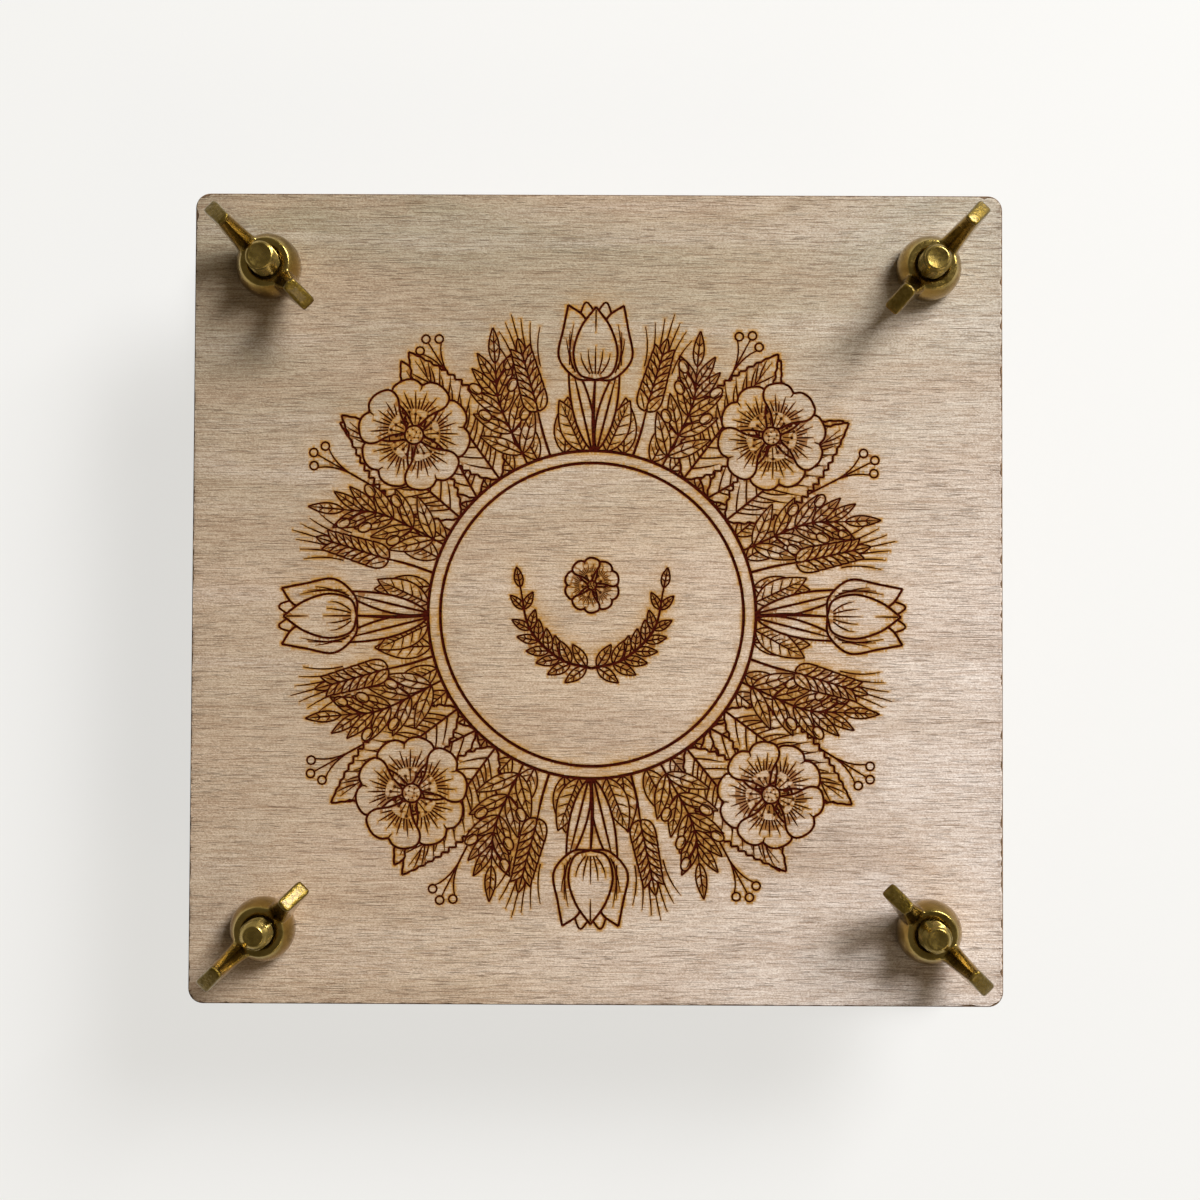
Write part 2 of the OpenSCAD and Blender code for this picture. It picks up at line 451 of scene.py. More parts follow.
def wire_metal(tree: Tree, given: dict[str, Socket]) -> list[Socket]:
    """Brass that has been handled: cloudy tarnish, and fine pits as a relief.

    Args:
        tree: The group's nodes.
        given: The group's inputs by name.

    Returns:
        The tarnish, dimples and relief.
    """
    vector = given["Vector"]
    cloud = tree.noise(vector, (0.22, 0.22, 0.22), 4.0, 0.6)
    tarnish = tree.span(cloud, 0.38, 0.68)
    dimples = tree.noise(vector, (1.1, 1.1, 1.1), 2.0)
    pits = tree.noise(vector, (4.5, 4.5, 4.5), 2.0)
    relief = tree.math("MULTIPLY_ADD", pits, given["Grit"], tree.math("MULTIPLY", dimples, 0.8))
    return [tarnish, dimples, relief]


def wire_paper(tree: Tree, given: dict[str, Socket]) -> list[Socket]:
    """Felted paper: soft clouds, sparse flecks of fibre, and a fine tooth as a relief.

    Args:
        tree: The group's nodes.
        given: The group's inputs by name.

    Returns:
        The clouds, flecks and tooth.
    """
    vector = given["Vector"]
    clouds = tree.noise(vector, (0.05, 0.05, 0.05), 3.0)
    flecks = tree.noise(vector, (1.3, 3.6, 3.6), 2.0, 1.2)
    sparse = tree.span(flecks, 0.60, 0.74)
    tooth = tree.noise(vector, (5.0, 5.0, 5.0), 2.0)
    return [clouds, tree.math("MULTIPLY", sparse, given["Flecks"]), tooth]


GRAIN = Effect("birch_grain", {}, ("Figure", "Bands", "Fibres", "Pores", "Relief"), wire_grain)
METAL = Effect("worn_brass", {"Grit": 0.5}, ("Tarnish", "Dimples", "Relief"), wire_metal)
PAPER = Effect("paper_fibre", {"Flecks": 1.0}, ("Clouds", "Flecks", "Tooth"), wire_paper)


# Finishes


class Finish(ABC):
    """A finish made round one Principled shader, with a fine relief."""

    relief_mm: float

    @abstractmethod
    def fill(self, tree: Tree) -> tuple[dict, Socket]:
        """Adds the finish's own nodes to a material.

        Args:
            tree: The material's nodes.

        Returns:
            The shader's inputs by name, and the relief's height as a share of relief_mm.
        """

    def material(self, name: str) -> bpy.types.Material:
        """Makes a material of the finish.

        Args:
            name: The material's name.

        Returns:
            The material.
        """
        made = bpy.data.materials.new(name)
        made.use_nodes = True
        tree = Tree(made.node_tree)
        inputs, height = self.fill(tree)
        relief = {"Height": height, "Distance": self.relief_mm * MM, "Strength": 1.0}
        bump = tree.node("ShaderNodeBump", relief)
        shader = tree.node("ShaderNodeBsdfPrincipled", {**inputs, "Normal": bump.outputs[0]})
        tree.node("ShaderNodeOutputMaterial", {"Surface": shader.outputs[0]})
        return made


@dataclass(frozen=True)
class BirchFace(Finish):
    """Sanded birch veneer with painted light and shade, paler to the right and front and darker to the
    back, and with scorched engraving where it is marked.
    """

    cream: Colour = (0.616, 0.470, 0.332)
    # Painted shade: the darker tone of the board's left and back.
    painted_shade_tan: Colour = (0.488, 0.370, 0.254)
    # Painted light and sheen on the board's right and front; also the tone of the pale grain bands.
    pale: Colour = (0.740, 0.632, 0.546)
    warm: Colour = (0.520, 0.372, 0.258)
    # Painted shade that darkens the board towards the back.
    back: Colour = (0.742, 0.800, 0.780)
    dark_fibre: Colour = (0.735, 0.655, 0.590)
    light_fibre: Colour = (1.260, 1.310, 1.345)
    streak: Colour = (0.430, 0.300, 0.195)
    pore: Colour = (0.235, 0.150, 0.095)
    halo: Colour = (0.480, 0.245, 0.055)
    toast: Colour = (0.260, 0.090, 0.015)
    char: Colour = (0.074, 0.007, 0.0008)
    soot: Colour = (0.022, 0.001, 0.0003)
    singe: Colour = (0.125, 0.058, 0.030)
    relief_mm: float = 0.17

    def wood(self, tree: Tree, where: Socket, grain: dict[str, Socket]) -> Socket:
        """The veneer's colour before it is engraved, with painted light and shade across the board.

        Args:
            tree: The material's nodes.
            where: Where each point is, in millimetres.
            grain: The grain's outputs.

        Returns:
            The colour.
        """
        axes = tree.node("ShaderNodeSeparateXYZ", {0: where}).outputs
        # Painted light and shade: the tone runs from a shaded tan on the left and back, through cream, to
        # pale on the right and front, broken up by the figure.
        drift = tree.math("MULTIPLY_ADD", axes["Y"], -0.45, axes["X"])
        drift = tree.math("MULTIPLY_ADD", grain["Figure"], 60.0, drift)
        tone = tree.mix(tree.span(drift, -60.0, 60.0), self.painted_shade_tan, self.cream)
        tone = tree.mix(tree.span(drift, 35.0, 125.0), tone, self.pale)
        # Painted shade: darker towards the back.
        tone = tree.mix(tree.span(axes["Y"], 5.0, 75.0), tone, self.back, "MULTIPLY")
        tone = tree.mix(tree.span(grain["Figure"], 0.5, 0.72, 0.0, 0.55), tone, self.warm)
        tone = tree.mix(tree.span(grain["Bands"], 0.50, 0.70, 0.0, 0.36), tone, self.streak)
        tone = tree.mix(tree.span(grain["Bands"], 0.48, 0.30, 0.0, 0.22), tone, self.pale)
        tint = tree.mix(tree.span(grain["Fibres"], 0.36, 0.64), self.dark_fibre, self.light_fibre)
        tone = tree.mix(1.0, tone, tint, "MULTIPLY")
        return tree.mix(tree.math("MULTIPLY", grain["Pores"], 0.6), tone, self.pore)

    def fill(self, tree: Tree) -> tuple[dict, Socket]:
        """Adds the finish's own nodes to a material.

        Args:
            tree: The material's nodes.

        Returns:
            The shader's inputs by name, and the height of the relief.
        """
        where = tree.millimetres()
        grain = GRAIN.place(tree, where)
        scorch, groove = tree.mark(Mark.SCORCH), tree.mark(Mark.GROOVE)
        patchy = tree.span(grain["Fibres"], 0.38, 0.62, 1.25, 0.75)
        blotches = tree.span(tree.noise(where, (0.13, 0.16, 0.16), 1.0), 0.36, 0.62, 0.5, 1.5)
        browned = tree.math("MULTIPLY", tree.math("POWER", scorch, 1.35), patchy)
        browned = tree.math("MULTIPLY", browned, blotches, clamp=True)
        tone = tree.mix(browned, self.wood(tree, where, grain), self.halo)
        tone = tree.mix(tree.span(scorch, 0.82, 1.0, 0.0, 0.8), tone, self.toast)
        ash = tree.noise(where, (1.4, 2.2, 1.0), 2.0)
        char = tree.mix(tree.span(ash, 0.38, 0.7), self.char, self.soot)
        tone = tree.mix(groove, tone, char)
        singed = tree.math("MULTIPLY", tree.mark(Mark.BURN), tree.span(ash, 0.34, 0.56), clamp=True)
        tone = tree.mix(singed, tone, self.singe)
        rough = tree.math("MULTIPLY_ADD", groove, 0.35, 0.6)
        return {"Base Color": tone, "Roughness": rough, "Specular IOR Level": 0.08}, grain["Relief"]


@dataclass(frozen=True)
class PlyEdge(Finish):
    """The laser-cut edge of plywood: toasted plies, with end grain darker than long grain."""

    plies: int = 5
    long_grain: Colour = (0.330, 0.200, 0.105)
    end_grain: Colour = (0.165, 0.086, 0.040)
    soot: Colour = (0.050, 0.025, 0.012)
    relief_mm: float = 0.12

    def fill(self, tree: Tree) -> tuple[dict, Socket]:
        """Adds the finish's own nodes to a material.

        Args:
            tree: The material's nodes.

        Returns:
            The shader's inputs by name, and the height of the relief.
        """
        where = tree.millimetres()
        grain = GRAIN.place(tree, where)
        speck = tree.noise(where, (1.8, 1.8, 1.8), 3.0)
        ridges = tree.noise(where, (2.6, 2.6, 0.12), 2.0)
        wander = tree.math("MULTIPLY", tree.math("SUBTRACT", speck, 0.5), 0.25)
        ply = tree.mark(Mark.PLY)
        layer = tree.math("MULTIPLY_ADD", ply, float(self.plies), wander)
        across = tree.math("PINGPONG", layer, 1.0)
        cross = tree.span(across, 0.42, 0.58)
        odd = tree.math("GREATER_THAN", tree.math("FLOORED_MODULO", layer, 2.0), 1.0)
        tone = tree.mix(odd, self.long_grain, self.end_grain)
        tone = tree.mix(tree.span(speck, 0.45, 0.72, 0.0, 0.7), tone, self.soot)
        seam = tree.math("MULTIPLY", tree.math("ABSOLUTE", tree.math("SUBTRACT", cross, 0.5)), 0.2)
        tone = tree.mix(seam, tone, self.soot)
        tone = tree.mix(tree.span(ridges, 0.5, 0.7, 0.0, 0.4), tone, self.soot)
        rim = tree.math("ABSOLUTE", tree.math("SUBTRACT", ply, 0.5))
        tone = tree.mix(tree.span(rim, 0.44, 0.49, 0.0, 0.6), tone, self.soot)
        height = tree.math("MULTIPLY_ADD", odd, 0.4, tree.math("ADD", speck, grain["Relief"]))
        height = tree.math("SUBTRACT", height, ridges)
        return {"Base Color": tone, "Roughness": 0.78, "Specular IOR Level": 0.2}, height


@dataclass(frozen=True)
class Brass(Finish):
    """Brass, bright to brown with tarnish, matt on cast tips, which are darkened by their skin and by a
    painted dark reflection and ringed by worn brass with a painted highlight, and with painted shade in the
    threads' grooves.
    """

    bright: Colour = (0.395, 0.276, 0.074)
    dull: Colour = (0.155, 0.099, 0.012)
    # Painted shade in the threads' grooves, nearly black.
    painted_thread_shade: Colour = (0.035, 0.022, 0.008)
    polish: float = 0.15
    matt: float = 0.14
    grit: float = 0.25
    relief_mm: float = 0.07

    def fill(self, tree: Tree) -> tuple[dict, Socket]:
        """Adds the finish's own nodes to a material.

        Args:
            tree: The material's nodes.

        Returns:
            The shader's inputs by name, and the height of the relief.
        """
        where = tree.millimetres()
        metal = METAL.place(tree, where, Grit=self.grit)
        tip = tree.mark(Mark.TIP)
        tone = tree.mix(tree.math("MULTIPLY", metal["Tarnish"], 0.75), self.bright, self.dull)
        # The blunt tips are darkened: partly by the casting's skin, partly by a painted dark reflection.
        skin_and_painted_reflection = tree.math("MULTIPLY", tip, tree.span(metal["Dimples"], 0.35, 0.62, 0.55, 1.0))
        tone = tree.mix(skin_and_painted_reflection, tone, self.dull)
        # Painted highlight, partly wear: a bright band round the rim of each blunt tip.
        rim = tree.math("ABSOLUTE", tree.math("SUBTRACT", tip, 0.5))
        tone = tree.mix(tree.span(rim, 0.1, 0.5, 0.8, 0.0), tone, self.bright)
        # Painted shade: the threads' grooves are darkened almost to black.
        tone = tree.mix(tree.math("MULTIPLY", tree.mark(Mark.GROOVE), 0.85), tone, self.painted_thread_shade)
        rough = tree.span(metal["Dimples"], 0.25, 0.75, self.polish, self.polish + self.matt)
        rough = tree.math("MULTIPLY_ADD", tip, self.matt, rough)
        coarse = tree.math("MULTIPLY", tip, tree.noise(where, (2.6, 2.6, 2.6), 2.0))
        height = tree.math("MULTIPLY_ADD", coarse, 2.2, metal["Relief"])
        inputs = {
            "Base Color": tone,
            "Roughness": rough,
            "Metallic": 1.0,
            "Coat Weight": 0.3,
            "Coat Roughness": 0.16,
        }
        return inputs, height


@dataclass(frozen=True)
class Paper(Finish):
    """Felted paper or kraft board, with flecks of darker fibre."""

    body: Colour
    cloud: Colour
    fleck: Colour
    flecks: float
    relief_mm: float

    def fill(self, tree: Tree) -> tuple[dict, Socket]:
        """Adds the finish's own nodes to a material.

        Args:
            tree: The material's nodes.

        Returns:
            The shader's inputs by name, and the height of the relief.
        """
        paper = PAPER.place(tree, tree.millimetres(), Flecks=self.flecks)
        tone = tree.mix(tree.span(paper["Clouds"], 0.35, 0.7), self.body, self.cloud)
        tone = tree.mix(paper["Flecks"], tone, self.fleck)
        return {"Base Color": tone, "Roughness": 0.9, "Specular IOR Level": 0.15}, paper["Tooth"]


KRAFT = Paper((0.400, 0.262, 0.150), (0.470, 0.320, 0.190), (0.200, 0.120, 0.065), 0.6, 0.03)
BLOTTING = Paper((0.780, 0.745, 0.660), (0.830, 0.800, 0.720), (0.560, 0.500, 0.400), 0.35, 0.03)


# Engraving


def spline(knots: Sequence[complex], steps: int = 5) -> np.ndarray:
    """A smooth curve through knots, with so many steps between each two.

    Args:
        knots: Where it passes.
        steps: Its steps from knot to knot.

    Returns:
        Its points.
    """
    ends = [2 * knots[0] - knots[1], *knots, 2 * knots[-1] - knots[-2]]
    t = np.arange(steps) / steps
    parts = []
    for a, b, c, d in zip(ends, ends[1:], ends[2:], ends[3:]):
        square, cube = 2 * a - 5 * b + 4 * c - d, 3 * (b - c) + d - a
        parts.append(0.5 * (2 * b + (c - a) * t + square * t**2 + cube * t**3))
    return np.concatenate([*parts, [knots[-1]]])


def extent(flat: np.ndarray) -> Extent:
    """The lowest and highest real and imaginary parts of plane points."""
    x, y = flat.real, flat.imag
    return float(x.min()), float(y.min()), float(x.max()), float(y.max())


def unit(way: complex) -> complex:
    """The direction of way."""
    return way / abs(way)


def both_sides(half: np.ndarray) -> np.ndarray:
    """A closed outline from its half above the real axis."""
    return np.concatenate([half, half.conjugate()[::-1]])


@dataclass
class Pen:
    """Engraves tapered strokes on a complex plane, and leaves out what lies behind earlier shapes.

    Attributes:
        origin: Where its own frame's zero lies on the board.
        turn: The direction of the frame's real axis.
        mirror: Whether what it draws is flipped about the real axis.
        spread: How much wider the laser burns than it is drawn.
        strokes: The strokes drawn so far, each with its points and its width at each of them.
        covers: The shapes drawn so far, which hide later strokes, each with its extent.
        fine: The distance between the points at which a stroke is tested for being hidden.
        stride: A long stroke keeps one in so many of those points.
        swell: The share of a stroke over which it grows to its full width.
        fade: The share of a stroke over which it thins towards its end.
        sharp: The turn, in radians, at which a stroke is parted in two.
    """

    origin: complex = 0j
    turn: complex = 1 + 0j
    mirror: bool = False
    spread: float = 1.03
    strokes: list[Stroke] = field(default_factory=list)
    covers: list[tuple[np.ndarray, Extent]] = field(default_factory=list)
    fine: float = 0.2
    stride: int = 3
    swell: float = 0.3
    fade: float = 0.4
    sharp: float = 0.7

    def at(self, origin: complex, turn: complex = 1 + 0j, mirror: bool = False) -> "Pen":
        """A pen for the same board whose frame is set inside this one.

        Args:
            origin: Where the new frame's zero lies in this one.
            turn: The direction of its real axis in this one.
            mirror: Whether it is flipped.

        Returns:
            The pen.
        """
        moved = origin.conjugate() if self.mirror else origin
        turned = turn.conjugate() if self.mirror else turn
        return replace(
            self,
            origin=self.origin + self.turn * moved,
            turn=self.turn * turned,
            mirror=self.mirror != mirror,
        )

    def on_board(self, points: Sequence[complex] | np.ndarray) -> np.ndarray:
        """Points of the pen's frame as points of the board."""
        flat = np.asarray(points, complex)
        return self.origin + self.turn * (flat.conjugate() if self.mirror else flat)

    def hidden(self, flat: np.ndarray) -> np.ndarray:
        """Which points of the board lie behind a shape that is already drawn.

        Args:
            flat: Points of the board.

        Returns:
            Whether each of them is hidden.
        """
        found = np.zeros(len(flat), bool)
        left, below, right, above = extent(flat)
        for cover, (x0, y0, x1, y1) in self.covers:
            if x1 < left or x0 > right or y1 < below or y0 > above:
                continue
            a, b = cover[None, :], np.roll(cover, -1)[None, :]
            p = flat[:, None]
            spans = (a.imag > p.imag) != (b.imag > p.imag)
            rise = np.where(b.imag == a.imag, 1.0, b.imag - a.imag)
            cross = a.real + (b.real - a.real) * (p.imag - a.imag) / rise
            found |= (spans & (p.real < cross)).sum(1) % 2 == 1
        return found

    def line(
        self, points: Sequence[complex] | np.ndarray, width: float, ends: tuple[float, float]
    ) -> None:
        """Engraves one stroke where nothing hides it.

        Args:
            points: The stroke's centre line.
            width: Its full width.
            ends: The share of the width at its start and its end.
        """
        rough = self.on_board(points)
        gaps = np.abs(np.diff(rough))
        along = np.concatenate([[0], np.cumsum(gaps)])
        counts = np.ceil(gaps / self.fine).astype(int)
        parts = [a + g * np.arange(n) / n for a, g, n in zip(along, gaps, counts)]
        s = np.concatenate([*parts, [along[-1]]])
        flat = np.interp(s, along, rough.real) + 1j * np.interp(s, along, rough.imag)
        t = s / along[-1]
        swollen = np.minimum(1, ends[0] + (1 - ends[0]) * t / self.swell)
        faded = ends[1] + (1 - ends[1]) * (1 - t) / self.fade
        widths = self.spread * width * np.minimum(swollen, faded)
        way = np.diff(flat)
        corners = np.flatnonzero(np.abs(np.angle(way[1:] / way[:-1])) > self.sharp) + 1
        edges = np.flatnonzero(np.diff(np.concatenate([[True], self.hidden(flat), [True]]).astype(int)))
        for start, end in zip(edges[::2], edges[1::2] - 1):
            if end - start < 2:
                continue
            stops = [start, *(c for c in corners if start < c < end), end]
            for first, last in zip(stops, stops[1:]):
                stride = self.stride if last - first > 8 else 1
                kept = np.linspace(first, last, (last - first) // stride + 1).round().astype(int)
                kept = np.unique(kept)
                self.strokes.append((flat[kept], widths[kept]))

    def crease(self, foot: complex, end: complex, width: float, sag: complex = 0j) -> None:
        """Engraves a thin line from foot to end, pulled aside by sag in its middle."""
        self.line(bend(foot, (foot + end) / 2 + sag, end, 4), width, (1, 0.3))

    def cover(self, outline: np.ndarray) -> None:
        """Lets a shape hide what is drawn after it."""
        flat = self.on_board(outline)
        self.covers.append((flat, extent(flat)))

    def shape(self, outline: np.ndarray, width: float) -> None:
        """Engraves a closed outline, which then hides what is drawn after it."""
        self.line(np.append(outline, outline[0]), width, (1, 1))
        self.cover(outline)

    def circle(self, centre: complex, radius: float, width: float, steps: int = 16) -> None:
        """Engraves a circle, which then hides what is drawn after it."""
        self.shape(centre + radius * np.exp(1j * FULL_TURN * np.arange(steps) / steps), width)

    def leaf(
        self, length: float, fullness: float, veins: int, teeth: float = 0.0, shaded: bool = False
    ) -> None:
        """Engraves a leaf along the real axis: its outline, its midrib, side veins and shading.

        Args:
            length: From its foot to its point.
            fullness: Half its width, as a share of its length.
            veins: Pairs of side veins.
            teeth: The depth of the teeth on its edge, as a share of its half width.
            shaded: Whether its lower half is shaded by lines between the veins.
        """
        steps = 4 * veins + 3 if teeth else 14
        t = np.linspace(0, 1, steps)
        half = fullness * np.sin(math.pi * t**0.8) ** 0.9
        half *= 1 + teeth * np.where(np.arange(steps) % 2, 0.5, -0.6)
        half[0] = half[-1] = 0
        wide, thin = (0.33, 0.25) if length < 12 else (0.44, 0.32)
        self.line(length * np.array([0.0, 0.3, 0.6, 0.93]), wide, (1, 0.3))
        rows = 2 * veins if shaded else veins
        for k in range(rows):
            between = shaded and k % 2 == 1
            start = 0.04 + 0.80 * ((k + 1) / (rows + 1))
            reach = fullness * math.sin(math.pi * min(start + 0.1, 1) ** 0.8) ** 0.9 * 0.84
            for side in (-1,) if between else (1, -1):
                end = start + 0.13 + 1j * side * reach * (0.7 if between else 1)
                vein = bend(start, start + 0.05 + 0.5j * side * reach, end, 4)
                self.line(length * vein, thin, (1, 0.3))
        self.shape(length * both_sides(t + 1j * half)[:-1], wide)

    def stem(self, knots: Sequence[complex], width: float = 0.48) -> np.ndarray:
        """Engraves a bent stem, and gives its points.

        Args:
            knots: Where it passes.
            width: Its width.

        Returns:
            Its points.
        """
        points = spline(knots, 6)
        self.line(points, width, (1, 0.6))
        return points

    def leafy(
        self, stem: np.ndarray, pairs: int, first: float, size: float, lean: float, fullness: float
    ) -> None:
        """Sets pairs of leaves along a stem, shorter towards its tip, with one at the tip.

        Args:
            stem: The stem's points.
            pairs: How many pairs.
            first: Where the first pair sits, as a share of the stem.
            size: The length of the leaves.
            lean: The angle between leaf and stem at the foot, in radians.
            fullness: Half a leaf's width, as a share of its length.
        """
        self.at(stem[-1], unit(stem[-1] - stem[-2])).leaf(size * 0.8, fullness, 2)
        for k in range(pairs):
            share = first + (0.97 - first) * k / pairs
            i = min(int(share * (len(stem) - 1)), len(stem) - 2)
            way = unit(stem[i + 1] - stem[i])
            for side in (1, -1):
                turn = way * np.exp(1j * side * (lean - 0.25 * share))
                self.at(stem[i], turn).leaf(size * (1.08 - 0.38 * share), fullness, 2)

    def rose(self, radius: float) -> None:
        """Engraves an open five-petalled blossom: its eye, stamens and creased petals.

        Args:
            radius: The blossom's radius.
        """
        eye = radius * 0.17
        for k in range(1, 9):
            dot = eye * 0.8 * math.sqrt(k / 9) * np.exp(1j * GOLDEN_TURN * k)
            self.line([dot - 0.16, dot + 0.16], 0.3, (1, 1))
        self.circle(0, eye, 0.42)
        count = int(2 * radius)
        for k in range(count):
            way = np.exp(1j * FULL_TURN * k / count)
            reach = radius * (0.30 + 0.05 * (k % 3))
            self.line([way * eye * 1.2, way * reach], 0.24, (0.8, 0.8))
            self.circle(way * (reach + 0.25), 0.2, 0.3, 8)
        for k in (0, 2, 4, 1, 3):
            petal = self.at(0, np.exp(1j * FULL_TURN * (k / 5 + 0.05)))
            rim = [(0.14, 12), (0.45, 30), (0.74, 39), (0.93, 33), (1.0, 19), (0.985, 8), (0.90, 0)]
            half = spline([radius * r * np.exp(1j * math.radians(a)) for r, a in rim], 4)
            for crease in range(-4, 5):
                foot = radius * 0.47 * np.exp(1j * crease * 0.095)
                reach = radius * (0.66 + 0.12 * (crease % 2)) * np.exp(1j * crease * 0.13)
                petal.crease(foot, reach, 0.028 * radius)
            petal.line(bend(radius * 0.9, radius * 0.84, radius * (0.80 + 0.02j), 3), 0.28, (1, 0.4))
            petal.shape(both_sides(half)[:-1], 0.44)

    def tulip(self, size: float) -> None:
        """Engraves a tulip's cup, seen from the side: a middle petal, two behind it, and their shading.

        Args:
            size: The cup's height.
        """
        knots = [0j, 0.08 + 0.22j, 0.38 + 0.30j, 0.72 + 0.20j, 1 + 0j]
        middle = spline([size * k for k in knots], 5)
        for k in range(-2, 3):
            foot, reach = size * (0.08 + 0.035j * k), size * (0.46 - 0.05 * abs(k) + 0.10j * k)
            self.crease(foot, reach, 0.3, 0.03j * k * size)
        self.line(size * np.array([0.96, 0.8, 0.66]), 0.3, (1, 0.3))
        self.shape(both_sides(middle)[:-1], 0.46)
        for side in (1, -1):
            outer = [0j, 0.02 + 0.26j, 0.30 + 0.50j, 0.70 + 0.44j, 1.02 + 0.38j]
            inner = [1.02 + 0.38j, 0.86 + 0.16j, 0.6 + 0.1j, 0j]
            back_edge = spline([size * k for k in inner], 4)[1:-1]
            petal = np.concatenate([spline([size * k for k in outer], 5), back_edge])
            petal = petal if side > 0 else petal.conjugate()
            for k in range(3):
                foot = size * complex(0.10 + 0.05 * k, side * (0.27 + 0.04 * k))
                reach = size * complex(0.56 + 0.1 * k, side * (0.40 - 0.05 * k))
                self.crease(foot, reach, 0.3, 0.04j * side * size)
            self.shape(petal, 0.46)
        back = spline([size * k for k in (0.2 + 0.4j, 0.8 + 0.24j, 1.06 + 0.14j, 0.9 + 0j)], 4)
        self.shape(both_sides(back)[:-1], 0.4)

    def wheat(self, length: float, rows: int) -> None:
        """Engraves an ear of wheat along the real axis: creased grains in pairs, and their bristles.

        Args:
            length: Its length with the bristles.
            rows: Pairs of grains.
        """
        for k in range(rows):
            foot = length * (0.62 * k / rows)
            size = length * (0.25 - 0.06 * k / rows)
            for side in (1, -1):
                grain = self.at(foot + 0.25j * side, np.exp(1j * side * 0.50))
                grain.line(size * np.array([0.15, 0.5, 0.8]), 0.26, (1, 0.4))
                t = np.linspace(0, 1, 9)
                grain.shape(size * both_sides(t + 0.24j * np.sin(math.pi * t**0.75))[:-1], 0.36)
        self.at(length * 0.60).leaf(length * 0.2, 0.22, 0)
        for k in range(-3, 4):
            foot = length * complex(0.66 - 0.07 * abs(k), 0.05 * k)
            tip = length * complex(1.06 - 0.07 * abs(k), 0.085 * k)
            self.line(bend(foot, foot + 0.2 * length, tip, 6), 0.28, (1, 0.5))

    def olive(self, length: float, pairs: int) -> None:
        """Engraves an olive twig along the real axis: narrow leaves in pairs, and fruit between them.

        Args:
            length: The twig's length.
            pairs: Pairs of leaves.
        """
        stem = self.stem([0j, length * (0.5 + 0.05j), length * (0.8 - 0.02j)], 0.42)
        for k in range(pairs):
            i = int((0.22 + 0.62 * (k + 0.5) / pairs) * (len(stem) - 1))
            side = 1 if k % 2 else -1
            foot = stem[i] + length * 0.13 * np.exp(1j * side)
            self.line([stem[i], foot], 0.28, (1, 1))
            fruit = self.at(foot, np.exp(1j * side * 0.7))
            fruit.line(bend(0.4 + 0.5j, 1.3 + 0.75j, 2.0 + 0.3j, 4), 0.28, (0.5, 0.5))
            turns = np.exp(1j * FULL_TURN * np.arange(16) / 16)
            fruit.shape(1.25 + 1.45 * turns.real + 0.98j * turns.imag, 0.36)
        self.leafy(stem, pairs, 0.14, length * 0.34, 0.75, 0.15)


